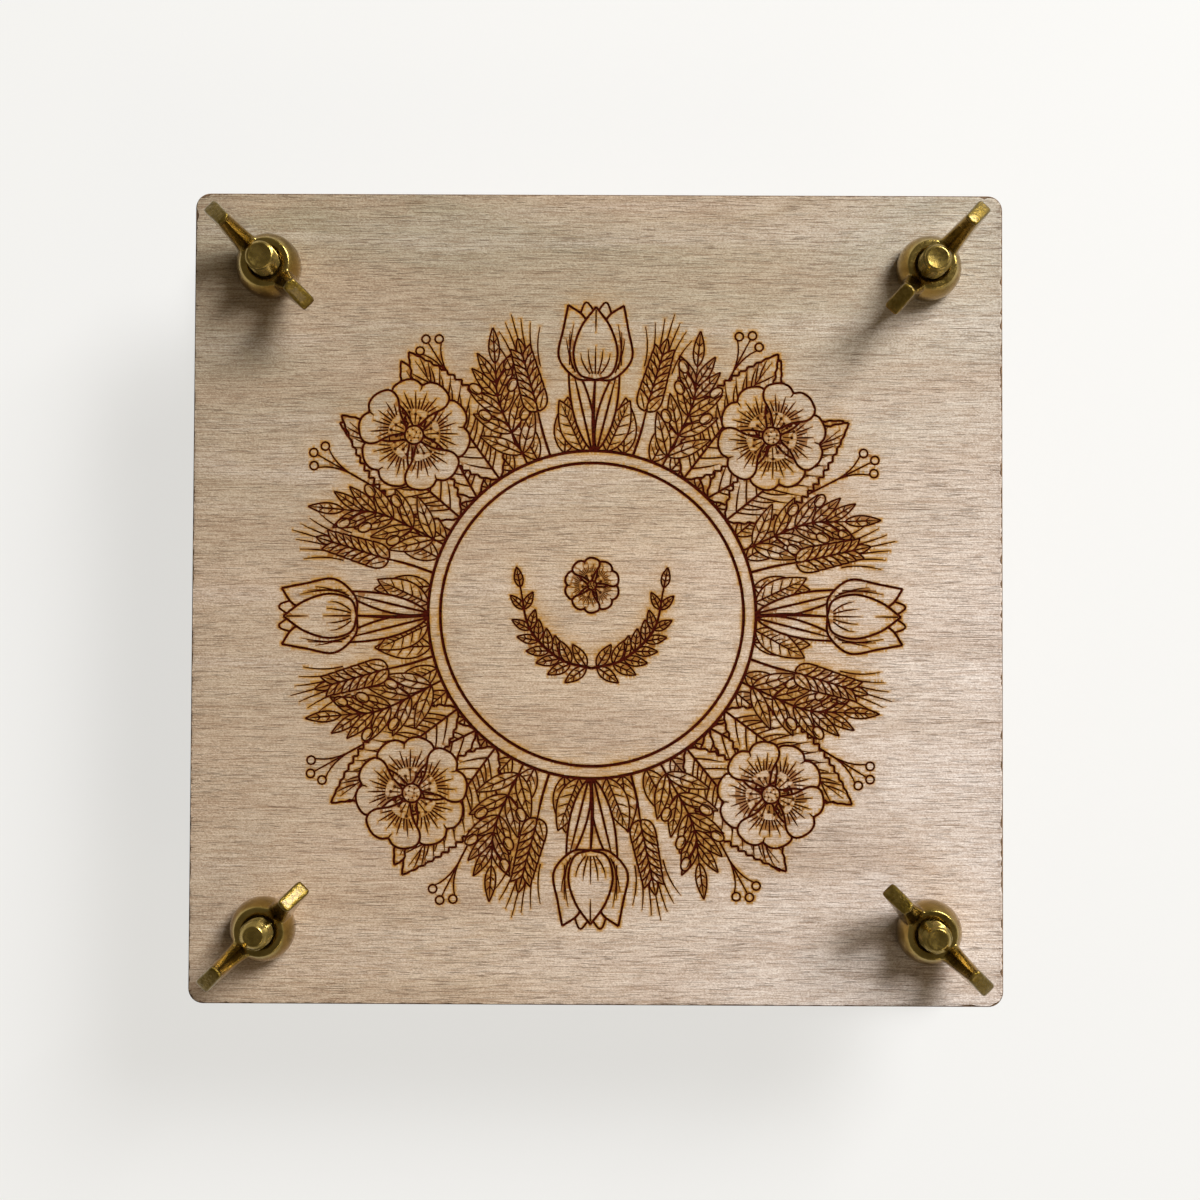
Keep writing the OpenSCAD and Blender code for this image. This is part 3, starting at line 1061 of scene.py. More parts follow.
@dataclass(frozen=True)
class Wreath:
    """A folk-style wreath round a double ring: roses, tulips, wheat ears, olive twigs and leaves.

    Attributes:
        centre: The rings' centre on the board.
        outer_r: Radius of the outer ring.
        inner_r: Radius of the inner ring.
        ring_steps: Steps round each ring.
        seed: Seed of the small differences between the quarters, as in hand work.
    """

    centre: complex = -1.05 - 3.4j
    outer_r: float = 33.35
    inner_r: float = 30.85
    ring_steps: int = 150
    seed: int = 11

    def draw(self) -> list[Stroke]:
        """Engraves the whole design, the front shapes first.

        Returns:
            Its strokes.
        """
        pen = Pen(origin=self.centre)
        self.draw_emblem(pen.at(-0.5j, 1j))
        pen.circle(0, self.inner_r, 0.58, self.ring_steps)
        pen.circle(0, self.outer_r, 0.6, self.ring_steps)
        rng = np.random.default_rng(self.seed)
        for quarter in range(4):
            self.root(pen, 45 + 90 * quarter, 18.2).rose(11.0 + 0.3 * rng.normal())
        for quarter in range(4):
            self.draw_tulip(self.root(pen, 90 * quarter + rng.normal(), 0))
        layers = (
            (14.5, 1.0, self.draw_wheat),
            (24.5, -4.0, self.draw_olive),
            (35.0, 3.0, self.draw_broad_leaf),
            (45.0, -17.0, self.draw_broad_leaf),
            (4.5, 20.0, self.draw_low_leaf),
            (20.0, 8.0, self.draw_low_leaf),
            (10.0, -10.0, self.draw_low_leaf),
            (28.5, 12.0, self.draw_low_leaf),
            (40.0, -8.0, self.draw_low_leaf),
            (30.0, -2.0, self.draw_berries),
        )
        for degrees, lean, draw in layers:
            for quarter in range(4):
                for mirror in (False, True):
                    side = pen.at(0, 1j**quarter, mirror)
                    draw(self.root(side, degrees + 0.7 * rng.normal(), 0, lean + 2 * rng.normal()))
        return pen.strokes

    def root(self, pen: Pen, degrees: float, out: float = 0.0, lean: float = 0.0) -> Pen:
        """A pen that starts on a spoke of the wreath and draws outwards.

        Args:
            pen: The pen at the rings' centre.
            degrees: The spoke's direction.
            out: How far beyond the outer ring it starts.
            lean: Degrees by which it leans away from straight out.

        Returns:
            The pen.
        """
        way = np.exp(1j * math.radians(degrees))
        turn = way * np.exp(1j * math.radians(lean))
        return pen.at(complex(way * (self.outer_r + out)), complex(turn))

    def draw_tulip(self, pen: Pen) -> None:
        """A tulip between two long blades.

        Args:
            pen: The pen at its foot.
        """
        pen.at(14.5).tulip(15.0)
        pen.stem([0j, 7 + 0.3j, 14.6 + 0j], 0.7)
        for side in (1, -1):
            blade = pen.at(0.5 * side * 1j, np.exp(1j * side * 0.24))
            blade.leaf(19.5 + side, 0.095, 0)

    def draw_wheat(self, pen: Pen) -> None:
        """A wheat ear on its straw."""
        pen.at(9.5).wheat(19.5, 7)
        pen.stem([0j, 5 + 0.2j, 10 + 0j], 0.5)

    def draw_olive(self, pen: Pen) -> None:
        """An olive twig."""
        pen.olive(27.0, 5)

    def draw_broad_leaf(self, pen: Pen) -> None:
        """A broad toothed leaf, shaded on one side."""
        pen.leaf(32.0, 0.2, 9, 0.16, True)

    def draw_low_leaf(self, pen: Pen) -> None:
        """A small leaf low on the wreath."""
        pen.leaf(11.5, 0.21, 4, 0.0, True)

    def draw_berries(self, pen: Pen) -> None:
        """A thin stalk that forks into three berries, beyond the leaves.

        Args:
            pen: The pen at its foot.
        """
        for side in (0, 1, -1):
            tip = 31.5 - 1.4 * abs(side) + 2.3j * side
            pen.circle(tip + 0.8, 0.85, 0.36, 12)
            pen.line(bend(24 + 0j, 28 + 0.4j * side, tip, 5), 0.32, (1, 0.8))
        pen.line([0j, 24 + 0j], 0.38, (1, 1))

    def draw_emblem(self, pen: Pen) -> None:
        """A small rose over two leafy twigs that part from one foot, inside the rings.

        Args:
            pen: The pen inside the rings.
        """
        pen.at(6.4).rose(5.6)
        for side in (1, -1):
            bends = ((-10.5, 0.0), (-8.6, 6.5), (-2.6, 12.6), (6.0, 14.6))
            twig = pen.stem([complex(x, y * side) for x, y in bends], 0.55)
            pen.leafy(twig, 7, 0.10, 5.2, 0.85, 0.21)


def splits() -> list[Stroke]:
    """Short splits along the grain, where the drill strained the veneer beside two bolt holes.

    Returns:
        The splits, as strokes.
    """
    runs = (
        (Corner.BACK_RIGHT, 3.8 - 0.5j, 9.9 - 0.95j),
        (Corner.FRONT_LEFT, 3.8 + 0.6j, 9.4 + 0.7j),
    )
    made = []
    for corner, start, end in runs:
        points = corner.axis() + spline([start, (start + end) / 2 + 0.06j, end], 8)
        made.append((points, np.linspace(0.22, 0.06, len(points))))
    return made


@dataclass(frozen=True)
class ScorchMap:
    """How far heat, and smoke drawn off towards the back, have browned the veneer, on a square grid.

    Attributes:
        strokes: The engraved strokes.
        half: Half the side of the board.
        cell: Side of a grid cell.
        heat_reach: How far heat spreads from a stroke.
        heat_share: How strongly heat browns.
        smoke_reach: How far smoke spreads.
        smoke_drift: How far smoke is drawn towards the back.
        smoke_share: How strongly smoke browns.
    """

    strokes: list[Stroke]
    half: float
    cell: float = 0.5
    heat_reach: float = 0.6
    heat_share: float = 0.3
    smoke_reach: float = 1.9
    smoke_drift: float = 2.0
    smoke_share: float = 1.2

    def blurred(self, grid: np.ndarray, sigma: float) -> np.ndarray:
        """The grid after a Gaussian blur of sigma millimetres.

        Args:
            grid: The grid.
            sigma: The blur's size in millimetres.

        Returns:
            The blurred grid.
        """
        reach = int(3 * sigma / self.cell)
        kernel = np.exp(-((np.arange(-reach, reach + 1) * self.cell / sigma) ** 2) / 2)
        kernel /= kernel.sum()
        for axis in (0, 1):
            grid = np.apply_along_axis(np.convolve, axis, grid, kernel, "same")
        return grid

    def at(self, flat: np.ndarray) -> np.ndarray:
        """The scorch at plane points, from 0 to 1.

        Args:
            flat: The plane points.

        Returns:
            The scorch at each of them.
        """
        size = int(2 * self.half / self.cell) + 1
        grid = np.zeros((size, size))
        for points, widths in self.strokes:
            middle = (points[1:] + points[:-1]) / 2
            area = np.abs(np.diff(points)) * (widths[1:] + widths[:-1]) / 2
            column = np.clip(((middle.real + self.half) / self.cell).astype(int), 0, size - 1)
            row = np.clip(((middle.imag + self.half) / self.cell).astype(int), 0, size - 1)
            np.add.at(grid, (row, column), area / self.cell**2)
        drift = int(self.smoke_drift / self.cell)
        smoke = np.roll(self.blurred(grid, self.smoke_reach), drift, axis=0)
        heat = self.heat_share * self.blurred(grid, self.heat_reach) + self.smoke_share * smoke
        x = np.clip((flat.real + self.half) / self.cell - 0.5, 0, size - 2)
        y = np.clip((flat.imag + self.half) / self.cell - 0.5, 0, size - 2)
        column, row = x.astype(int), y.astype(int)
        u, v = x - column, y - row
        value = (heat[row, column] * (1 - u) + heat[row, column + 1] * u) * (1 - v)
        value += (heat[row + 1, column] * (1 - u) + heat[row + 1, column + 1] * u) * v
        return 1 - np.exp(-value)


# Boards


@dataclass
class Board:
    """A square plywood board with four bolt holes, softened edges and, where it has strokes, engraving.

    Attributes:
        node: The CAD node that it stands for.
        body: The CAD body that it rides on.
        strokes: The strokes engraved in its upper face.
        splits: The splits in its upper face, as strokes.
        sockets: Whether it has the bolts' square sockets and head rings in its underside.
        corner_r: The radius of its corners.
        soften: How far its edges are softened.
        bite: How far a rough cut eats into its upper edge.
        hole_r: The radius of its bolt holes.
        socket_half: Half the side of a square socket.
        socket_top: The height of a socket's end above the underside.
        ring_r: The radius of the ring that a bolt's head has drawn into the underside.
        ring_depth: The depth of that ring.
        groove_depth: The depth of the engraving.
        loop_points: Points round a hole.
        outline_step: The distance between the outline's points.
        margin: How far the points inside a face keep off the outline.
        clearance: How far they keep off the bolt holes.
        rough_strip: The width of the strip along the right side where the cut is rough.
        grid_step: The distance between the points inside a plain face.
        fine_step: The distance between the points where heat has browned a face.
    """

    node: str
    body: str
    strokes: list[Stroke] = field(default_factory=list)
    splits: list[Stroke] = field(default_factory=list)
    sockets: bool = False
    corner_r: float = 3.0
    soften: float = 0.20
    bite: float = 0.5
    hole_r: float = 3.3
    socket_half: float = 3.2
    socket_top: float = 3.9
    ring_r: float = 8.3
    ring_depth: float = 0.3
    groove_depth: float = 0.22
    loop_points: int = 48
    outline_step: float = 0.6
    margin: float = 1.5
    clearance: float = 0.8
    rough_strip: float = 1.5
    grid_step: float = 3.0
    fine_step: float = 0.8

    def __post_init__(self) -> None:
        """Takes the board's box from the CAD model."""
        low, high = (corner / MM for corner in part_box(self.node))
        self.half = (high.x - low.x) / 2
        self.bottom, self.top = low.z, high.z

    def outline(self) -> tuple[np.ndarray, np.ndarray]:
        """The board's outline, anticlockwise, and the outward direction at each point.

        Returns:
            The points and the directions.
        """
        run = self.half - self.corner_r
        steps = int(2 * run / self.outline_step)
        straight = self.half + 1j * np.linspace(-run, run, steps, endpoint=False)
        way = np.exp(1j * np.linspace(0, math.pi / 2, 8, endpoint=False))
        side = np.concatenate([straight, (1 + 1j) * run + self.corner_r * way])
        out = np.concatenate([np.ones(steps), way])
        turns = [1j**quarter for quarter in range(4)]
        return np.concatenate([side * t for t in turns]), np.concatenate([out * t for t in turns])

    def hole_centres(self) -> list[complex]:
        """Where the four bolts pass."""
        return [corner.axis() for corner in Corner]

    def ring(self, centre: complex, radius: float) -> np.ndarray:
        """A round loop about a bolt."""
        turns = FULL_TURN * (np.arange(self.loop_points) + 0.5) / self.loop_points
        return centre + radius * np.exp(1j * turns)

    def square_ring(self, centre: complex, half: float) -> np.ndarray:
        """A square loop about a bolt, with as many points as a round one.

        Args:
            centre: The bolt's axis.
            half: Half the square's side.

        Returns:
            Its points.
        """
        way = self.ring(0j, 1.0)
        reach = half / np.maximum(np.abs(way.real), np.abs(way.imag))
        return centre + way * reach

    def ply_height(self, points: np.ndarray) -> np.ndarray:
        """How high points lie in the board, from 0 at its underside to 1 at its upper face."""
        return (points[:, 2] - self.bottom) / (self.top - self.bottom)

    def edge_loops(self) -> list[np.ndarray]:
        """The board's cut edge as loops, from the worn upper rim to the lower one.

        Returns:
            The loops.
        """
        outline, out = self.outline()
        levels = (
            (1.0, self.top, 1.0),
            (0.3, self.top - 0.6 * self.soften, 0.7),
            (0.0, self.top - 1.4 * self.soften, 0.0),
            (0.0, self.bottom + 1.4 * self.soften, 0.0),
            (0.3, self.bottom + 0.6 * self.soften, 0.0),
            (1.0, self.bottom, 0.0),
        )
        loops = []
        for inset, z, bite in levels:
            spots = [Vector((p.real * 0.6, p.imag * 0.6, z * 0.5)) for p in outline]
            ragged = np.array([noise.fractal(spot, 0.8, 2.0, 4) for spot in spots])
            rough = np.clip(ragged * 1.8, 0, 1) * self.roughness(outline)
            loops.append(lift(outline - out * (self.soften * inset + self.bite * bite * rough), z))
        return loops

    def roughness(self, flat: np.ndarray) -> np.ndarray:
        """How rough the cut is near plane points: most on the right and at the corners.

        Args:
            flat: The plane points.

        Returns:
            The roughness at each of them, from 0 to 1.
        """
        corner = np.clip((np.abs(flat.real) + np.abs(flat.imag)) / self.half - 1.88, 0, 0.08) / 0.08
        right = flat.real > self.half - self.rough_strip
        return np.clip(0.25 + 0.75 * corner + 0.5 * right, 0, 1)

    def quads(self, points: list[complex]) -> list[list[int]]:
        """Adds the sides of the strokes and splits to a face's points, and gives the quads between them.

        Args:
            points: The face's points, which it adds to.

        Returns:
            The quads.
        """
        found = []
        for centre, widths in self.strokes + self.splits:
            along = np.gradient(centre)
            if np.abs(along).min() < 0.01:
                continue
            side = 0.5j * widths * along / np.abs(along)
            start = len(points)
            points.extend(np.column_stack([centre + side, centre - side]).reshape(-1))
            for k in range(start, start + 2 * (len(centre) - 1), 2):
                quad = [k, k + 1, k + 3, k + 2]
                if is_convex([points[i] for i in quad]):
                    found.append(quad)
        return found

    def face(
        self, edge: np.ndarray, holes: list[np.ndarray], carved: bool
    ) -> tuple[np.ndarray, list, np.ndarray]:
        """Triangulates one flat face.

        Args:
            edge: Its outline.
            holes: The loops of its holes.
            carved: Whether the strokes and splits are cut into it.

        Returns:
            Its points, its triangles, and for each triangle whether it lies in a stroke.
        """
        points, polygons = list(edge), [list(range(len(edge)))]
        for hole in holes:
            polygons.append(list(range(len(points), len(points) + len(hole))))
            points.extend(hole)
        first_quad = len(polygons)
        if carved:
            polygons += self.quads(points)
        points.extend(self.filling(carved))
        flat = [Vector((p.real, p.imag)) for p in points]
        found = delaunay_2d_cdt(flat, [], polygons, 0, 1e-4, True)
        made, triangles, owners = found[0], found[2], found[5]
        kept, grooves = [], []
        for triangle, owner in zip(triangles, owners):
            if 0 in owner and not any(0 < o < first_quad for o in owner):
                kept.append(list(triangle))
                grooves.append(any(o >= first_quad for o in owner))
        return np.array([complex(p.x, p.y) for p in made]), kept, np.array(grooves, bool)

    def filling(self, carved: bool) -> list[complex]:
        """Points inside a face, close together where heat has browned it, so that the marks fade.

        Args:
            carved: Whether the face is engraved.

        Returns:
            The points.
        """
        reach = self.half - self.margin
        coarse = np.arange(-reach, reach, self.grid_step)
        found = [complex(x, y) for x in coarse for y in coarse]
        found += [p for inset in (0.7, 1.3) for p in self.outline()[0] * (1 - inset / self.half)]
        if carved:
            drawn = np.concatenate([points for points, _ in self.strokes])
            cells = [np.round(v / self.fine_step).astype(int) for v in (drawn.real, drawn.imag)]
            spots = set(zip(*(v.tolist() for v in cells)))
            around = [(di, dj) for di in range(-4, 5) for dj in range(-3, 6)]
            near = {(i + di, j + dj) for i, j in spots for di, dj in around}
            found += [complex(i, j) * self.fine_step + 0.01j for i, j in sorted(near)]
        centres, reach = self.hole_centres(), self.hole_r + self.clearance
        return [p for p in found if min(abs(p - c) for c in centres) > reach]

    def upper_face(self, draft: Draft, edge: np.ndarray) -> None:
        """Adds the upper face, with grooves where it is engraved.

        Args:
            draft: The board's draft.
            edge: The face's outline.
        """
        holes = [self.ring(c, self.hole_r + self.soften / 2) for c in self.hole_centres()]
        flat, triangles, grooves = self.face(edge, holes, bool(self.strokes))
        scorch = ScorchMap(self.strokes, self.half).at(flat) if self.strokes else np.zeros(len(flat))
        inset = self.half - np.maximum(np.abs(flat.real), np.abs(flat.imag))
        burn = 1.9 * np.exp(-inset / 0.45) * self.roughness(flat)
        top = [t for t, g in zip(triangles, grooves) if not g]
        sunk = [t for t, g in zip(triangles, grooves) if g]
        if sunk:
            lips = np.unique(sunk)
            scorch[lips[scorch[lips] > 0.01]] = 1.0
        draft.add(lift(flat, self.top), top, scorch=scorch, burn=burn, ply=1.0)
        if sunk:
            self.grooves(draft, flat, sunk, scorch)

    def grooves(self, draft: Draft, flat: np.ndarray, sunk: list[list[int]], scorch: np.ndarray) -> None:
        """Adds the floors and the walls of the grooves.

        Args:
            draft: The board's draft.
            flat: The points of the upper face, in plan.
            sunk: The triangles that lie in the grooves.
            scorch: How browned each point is.
        """
        floor_z = self.top - self.groove_depth
        draft.add(lift(flat, floor_z), sunk, scorch=1.0, groove=1.0)
        sides = dict.fromkeys((t[k], t[(k + 1) % 3]) for t in sunk for k in range(3))
        walls = [(a, b) for a, b in sides if (b, a) not in sides]
        count = len(flat)
        both = np.vstack([lift(flat, self.top), lift(flat, floor_z)])
        browned = np.concatenate([scorch, np.ones(count)])
        depth = np.repeat([0.0, 1.0], count)
        faces = [[a, b, b + count, a + count] for a, b in walls]
        draft.add(both, faces, scorch=browned, groove=depth)

    def hole_loops(self, centre: complex) -> list[np.ndarray]:
        """The wall of one bolt hole, from the upper face to the lower.

        Args:
            centre: The bolt's axis.

        Returns:
            The loops.
        """
        soft = self.soften / 2
        hole, rim = self.ring(centre, self.hole_r), self.ring(centre, self.hole_r + soft)
        steps = [(rim, self.top), (hole, self.top - soft)]
        if self.sockets:
            shelf, seat = self.bottom + self.socket_top, self.bottom + self.ring_depth
            square = self.square_ring(centre, self.socket_half)
            wide = self.ring(centre, self.ring_r)
            steps += [(hole, shelf), (square, shelf), (square, seat), (wide, seat), (wide, self.bottom)]
        else:
            steps += [(hole, self.bottom + soft), (rim, self.bottom)]
        return [lift(loop, z) for loop, z in steps]

    def build(self, face: bpy.types.Material, edge: bpy.types.Material) -> None:
        """Builds the board and dresses it.

        Args:
            face: The finish of its broad faces.
            edge: The finish of its cut edges.
        """
        draft = Draft()
        rims = self.edge_loops()
        holes = [self.hole_loops(centre) for centre in self.hole_centres()]
        for loops in (rims, *holes):
            points, faces = skin(loops)
            draft.add(points, faces, slot=1, ply=self.ply_height(points))
        self.upper_face(draft, flat_part(rims[0]))
        below = [flat_part(loops[-1]) for loops in holes]
        flat, triangles, _ = self.face(flat_part(rims[-1]), below, False)
        draft.add(lift(flat, self.bottom), [t[::-1] for t in triangles])
        mesh = draft.mesh(self.node + "_sawn", smooth_deg=40)
        place(mesh, self.node, self.body, Slot.PLYWOOD, face, edge)


# Hardware


def stand(mesh: bpy.types.Mesh, corner: Corner, turn: float, z: float = 0.0) -> None:
    """Turns a mesh about its axis and stands it at a corner.

    Args:
        mesh: The mesh, about the origin.
        corner: The corner.
        turn: The turn in radians.
        z: Its height in metres.
    """
    axis = corner.axis()
    spot = Matrix.Translation((axis.real * MM, axis.imag * MM, z))
    mesh.transform(spot @ Matrix.Rotation(turn, 4, "Z"))


@dataclass
class CarriageBolt:
    """A carriage bolt, turned in one skin: domed head, square neck, plain shank and rolled thread.

    Attributes:
        head_r: The radius of its head.
        head_h: The height of its head.
        rim_h: The height of the head's straight rim.
        rim_round: How far the rim's edges are rounded.
        neck_half: Half the side of its square neck.
        neck_h: The height of its neck.
        neck_fade: The height over which the neck runs out into the shank.
        crest_r: The radius of the thread's crests and of the shank.
        root_r: The radius of the thread's roots.
        pitch: The thread's pitch.
        thread_start: The height at which the thread begins.
        around: Points round the bolt.
        rows_per_turn: Loops for each turn of the thread.
        turn_step: How much further each bolt is turned than the one before, in radians.
    """

    head_r: float = 8.0
    head_h: float = 3.4
    rim_h: float = 0.6
    rim_round: float = 0.15
    neck_half: float = 3.13
    neck_h: float = 3.6
    neck_fade: float = 0.4
    crest_r: float = 2.98
    root_r: float = 2.45
    pitch: float = 1.0
    thread_start: float = 12.0
    around: int = 40
    rows_per_turn: int = 8
    turn_step: float = 1.3

    def __post_init__(self) -> None:
        """Takes the bolt's length from the CAD model."""
        self.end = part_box("carriage_bolt_1")[1].z / MM

    def thread_radius(self, z: float, turns: np.ndarray) -> np.ndarray:
        """The thread's radius at height z, round one turn.

        Args:
            z: The height.
            turns: The places round the bolt, as shares of a turn.

        Returns:
            The radius at each place.
        """
        phase = (z / self.pitch - turns) % 1.0
        flank = np.clip(((1 - np.abs(2 * phase - 1)) - 0.14) / 0.62, 0, 1)
        grown = min(1.0, max(0.0, (z - self.thread_start) / (2 * self.pitch)))
        return self.crest_r - (self.crest_r - self.root_r) * grown * (1 - flank)

    def head_rows(self) -> list[tuple[float, float]]:
        """The radius and height of the loops of the head, from its crown to its flat.

        Returns:
            A radius and a height for each loop.
        """
        dome_h = self.head_h - self.rim_h
        dome_r = (self.head_r**2 + dome_h**2) / (2 * dome_h)
        rows = [(0.0, 0.0)]
        for lean in np.linspace(0, math.asin(self.head_r / dome_r), 13)[1:]:
            rows.append((dome_r * math.sin(lean) - 0.02, dome_r * (1 - math.cos(lean))))
        rows.append((self.head_r, dome_h + 0.1))
        rows.append((self.head_r, self.head_h - self.rim_round))
        rows.append((self.head_r - self.rim_round, self.head_h))
        return rows

    def loops(self, end_r: float) -> list[np.ndarray]:
        """The bolt's skin as loops round its axis.

        Args:
            end_r: The radius of the flat on its free end.

        Returns:
            The loops, from the crown of the head to the free end.
        """
        turns = np.arange(self.around) / self.around
        way = np.exp(1j * FULL_TURN * turns)
        square = self.neck_half / np.maximum(np.abs(way.real), np.abs(way.imag))
        neck = np.minimum(square, self.neck_half * 1.33)
        neck_top = self.head_h + self.neck_h
        rows = self.head_rows()
        rows += [(neck, self.head_h), (neck, neck_top - self.neck_fade), (self.crest_r, neck_top)]
        z = self.thread_start
        chamfer = self.chamfer(end_r)
        while z < self.end - chamfer:
            rows.append((self.thread_radius(z, turns), z))
            z += self.pitch / self.rows_per_turn
        for share in (0.2, 0.4, 0.6, 0.8):
            z = self.end - chamfer * (1 - share)
            limit = self.crest_r + (end_r - self.crest_r) * share**0.8
            rows.append((np.minimum(self.thread_radius(z, turns), limit), z))
        rows += [(end_r, self.end - 0.05), (end_r - 0.1, self.end), (end_r - 0.3, self.end)]
        rows += [(end_r - 0.5, self.end - 0.06), (0.0, self.end - 0.09)]
        return [lift(r * way, z) for r, z in rows]

    def thread_depth(self, points: np.ndarray, end_r: float) -> np.ndarray:
        """How deep each point lies in the thread, from 0 at its crests to 1 at its roots.

        Args:
            points: The bolt's points.
            end_r: The radius of the flat on its end.

        Returns:
            The depth of each point.
        """
        z = points[:, 2]
        threaded = (z > self.thread_start) & (z < self.end - self.chamfer(end_r))
        depth = (self.crest_r - np.hypot(points[:, 0], points[:, 1])) / (self.crest_r - self.root_r)
        return np.clip(depth, 0, 1) * threaded

    def chamfer(self, end_r: float) -> float:
        """The height of the cone at the bolt's end."""
        return 0.95 * (self.crest_r - end_r)

    def build(self, finish: bpy.types.Material) -> None:
        """Builds the four bolts, each turned another way, and dresses them.

        Args:
            finish: The bolts' finish.
        """
        for corner in Corner:
            node = f"carriage_bolt_{corner.number}"
            draft = Draft()
            points, faces = skin(self.loops(corner.end_r))
            draft.add(points, faces, groove=self.thread_depth(points, corner.end_r))
            mesh = draft.mesh(node + "_turned", smooth_deg=38)
            stand(mesh, corner, corner.number * self.turn_step)
            place(mesh, node, "base", Slot.BOLT, finish)


@dataclass
class WingNut:
    """A cast wing nut: a rounded hub and two wings, fused into one skin with soft inner corners.

    A complex number holds a place in a wing's side view: its distance from the bore's axis and its height.

    Attributes:
        hub_base_r: The hub's radius at its foot.
        hub_top_r: The hub's radius at its rim.
        hub_h: The hub's height.
        foot_h: The height of the hub's straight foot.
        foot_round: How far the foot's edge is rounded.
        bulge: How far the hub's flank is drawn out.
        bore_r: The bore's radius.
        bevel: The size of the bore's bevel at the foot.
        sink: The size of the countersink at the rim.
        root: Where a wing's sections start, inside the hub.
        inner: The foot of a wing's inner edge, the place that draws it, and its crest.
        outer: The foot of a wing's outer edge, the place that draws it, and its tip.
        blunt_half: Half a wing's thickness at its blunt end.
        taper: How much thicker it is at the hub.
        flare: How much it widens besides, close to the hub.
        lean: How much thicker a section is at its outer edge, as a share.
        squareness: The power that makes a wing's section a rounded box: 2 would make it an ellipse.
        seam_h: The height of the casting's seam along the inner edge.
        seam_w: The half width of that seam.
        skin_depth: How far down from a blunt end its matt skin reaches.
        skin_fade: The length over which that skin fades.
        voxel: The grain of the fusing, in millimetres.
        soften_rounds: How many times the fused skin is smoothed.
    """

    hub_base_r: float = 6.45
    hub_top_r: float = 4.85
    hub_h: float = 7.05
    foot_h: float = 0.9
    foot_round: float = 0.25
    bulge: float = 1.35
    bore_r: float = 3.06
    bevel: float = 0.35
    sink: float = 0.5
    root: complex = 4.2 + 3.95j
    inner: tuple[complex, complex, complex] = (3.9 + 6.6j, 6.1 + 7.9j, 8.8 + 16.95j)
    outer: tuple[complex, complex, complex] = (4.6 + 1.2j, 8.3 + 3.2j, 14.25 + 13.2j)
    blunt_half: float = 1.53
    taper: float = 0.66
    flare: float = 0.6
    lean: float = 0.04
    squareness: float = 7.5
    seam_h: float = 0.22
    seam_w: float = 0.4
    skin_depth: float = 0.75
    skin_fade: float = 0.35
    voxel: float = 0.17
    soften_rounds: int = 7

    def hub(self, draft: Draft) -> None:
        """Adds the hub with its countersunk bore.

        Args:
            draft: The nut's draft.
        """
        foot, rim = complex(self.hub_base_r, self.foot_h), complex(self.hub_top_r, self.hub_h)
        out = unit(rim - foot) * -1j
        flank = bend(foot, (foot + rim) / 2 + self.bulge * out, rim, 10)
        profile = [
            complex(self.bore_r, self.bevel),
            complex(self.bore_r + self.bevel, 0),
            complex(self.hub_base_r - self.foot_round, 0),
            complex(self.hub_base_r, self.foot_round),
            *flank,
            complex(self.bore_r + self.sink, self.hub_h),
            complex(self.bore_r, self.hub_h - self.sink),
            complex(self.bore_r, self.bevel),
        ]
        way = np.exp(1j * FULL_TURN * np.arange(72) / 72)
        draft.add(*skin([lift(p.real * way, p.imag) for p in profile]))

    def wing(self, draft: Draft, side: int) -> None:
        """Adds one wing, as sections that fan out from the hub to the blunt end.

        Args:
            draft: The nut's draft.
            side: 1 for one wing and -1 for the other.
        """
        steps = 18
        angles = np.linspace(0, FULL_TURN, 28, endpoint=False)
        waves = (np.cos(angles), np.sin(angles))
        u, v = (np.sign(wave) * np.abs(wave) ** (2 / self.squareness) for wave in waves)
        edges = list(zip(bend(*self.inner, steps), bend(*self.outer, steps)))
        sections = [(np.full(len(u), self.root), 0 * u)]
        for k, (a, b) in enumerate(edges):
            left = 1 - k / steps
            half = self.blunt_half + self.taper * left + self.flare * left**6
            seam = self.seam_h * np.exp(-((v * half / self.seam_w) ** 2)) * (u < -0.9)
            reach = (b - a) / 2
            spot = (a + b) / 2 + reach * u - seam * unit(reach)
            sections.append((spot, v * (half * (1 + self.lean * u))))
        crest, tip = edges[-1]
        along = unit((crest + tip) / 2 - sum(edges[-2]) / 2)
        for shrink, push in ((0.95, 0.16), (0.86, 0.3), (0.5, 0.42), (0.0, 0.45)):
            spot = (crest + tip) / 2 + along * push + (tip - crest) / 2 * u * shrink
            sections.append((spot, sections[len(edges)][1] * shrink))
        loops = [np.column_stack([side * s.real, side * w, s.imag]) for s, w in sections]
        draft.add(*skin(loops))

    def cast(self, draft: Draft) -> bpy.types.Mesh:
        """Fuses the overlapping shells into one closed skin and softens its corners.

        Args:
            draft: The nut's draft.

        Returns:
            The casting's mesh.
        """
        rough = bpy.data.objects.new("casting", draft.mesh("casting"))
        bpy.context.scene.collection.objects.link(rough)
        rough.scale = (1 / MM,) * 3
        fuse = rough.modifiers.new("fuse", "REMESH")
        fuse.mode = "VOXEL"
        fuse.voxel_size = self.voxel * MM
        soften = rough.modifiers.new("soften", "SMOOTH")
        soften.factor = 0.5
        soften.iterations = self.soften_rounds
        graph = bpy.context.evaluated_depsgraph_get()
        made = bpy.data.meshes.new_from_object(rough.evaluated_get(graph))
        bpy.data.objects.remove(rough)
        return made

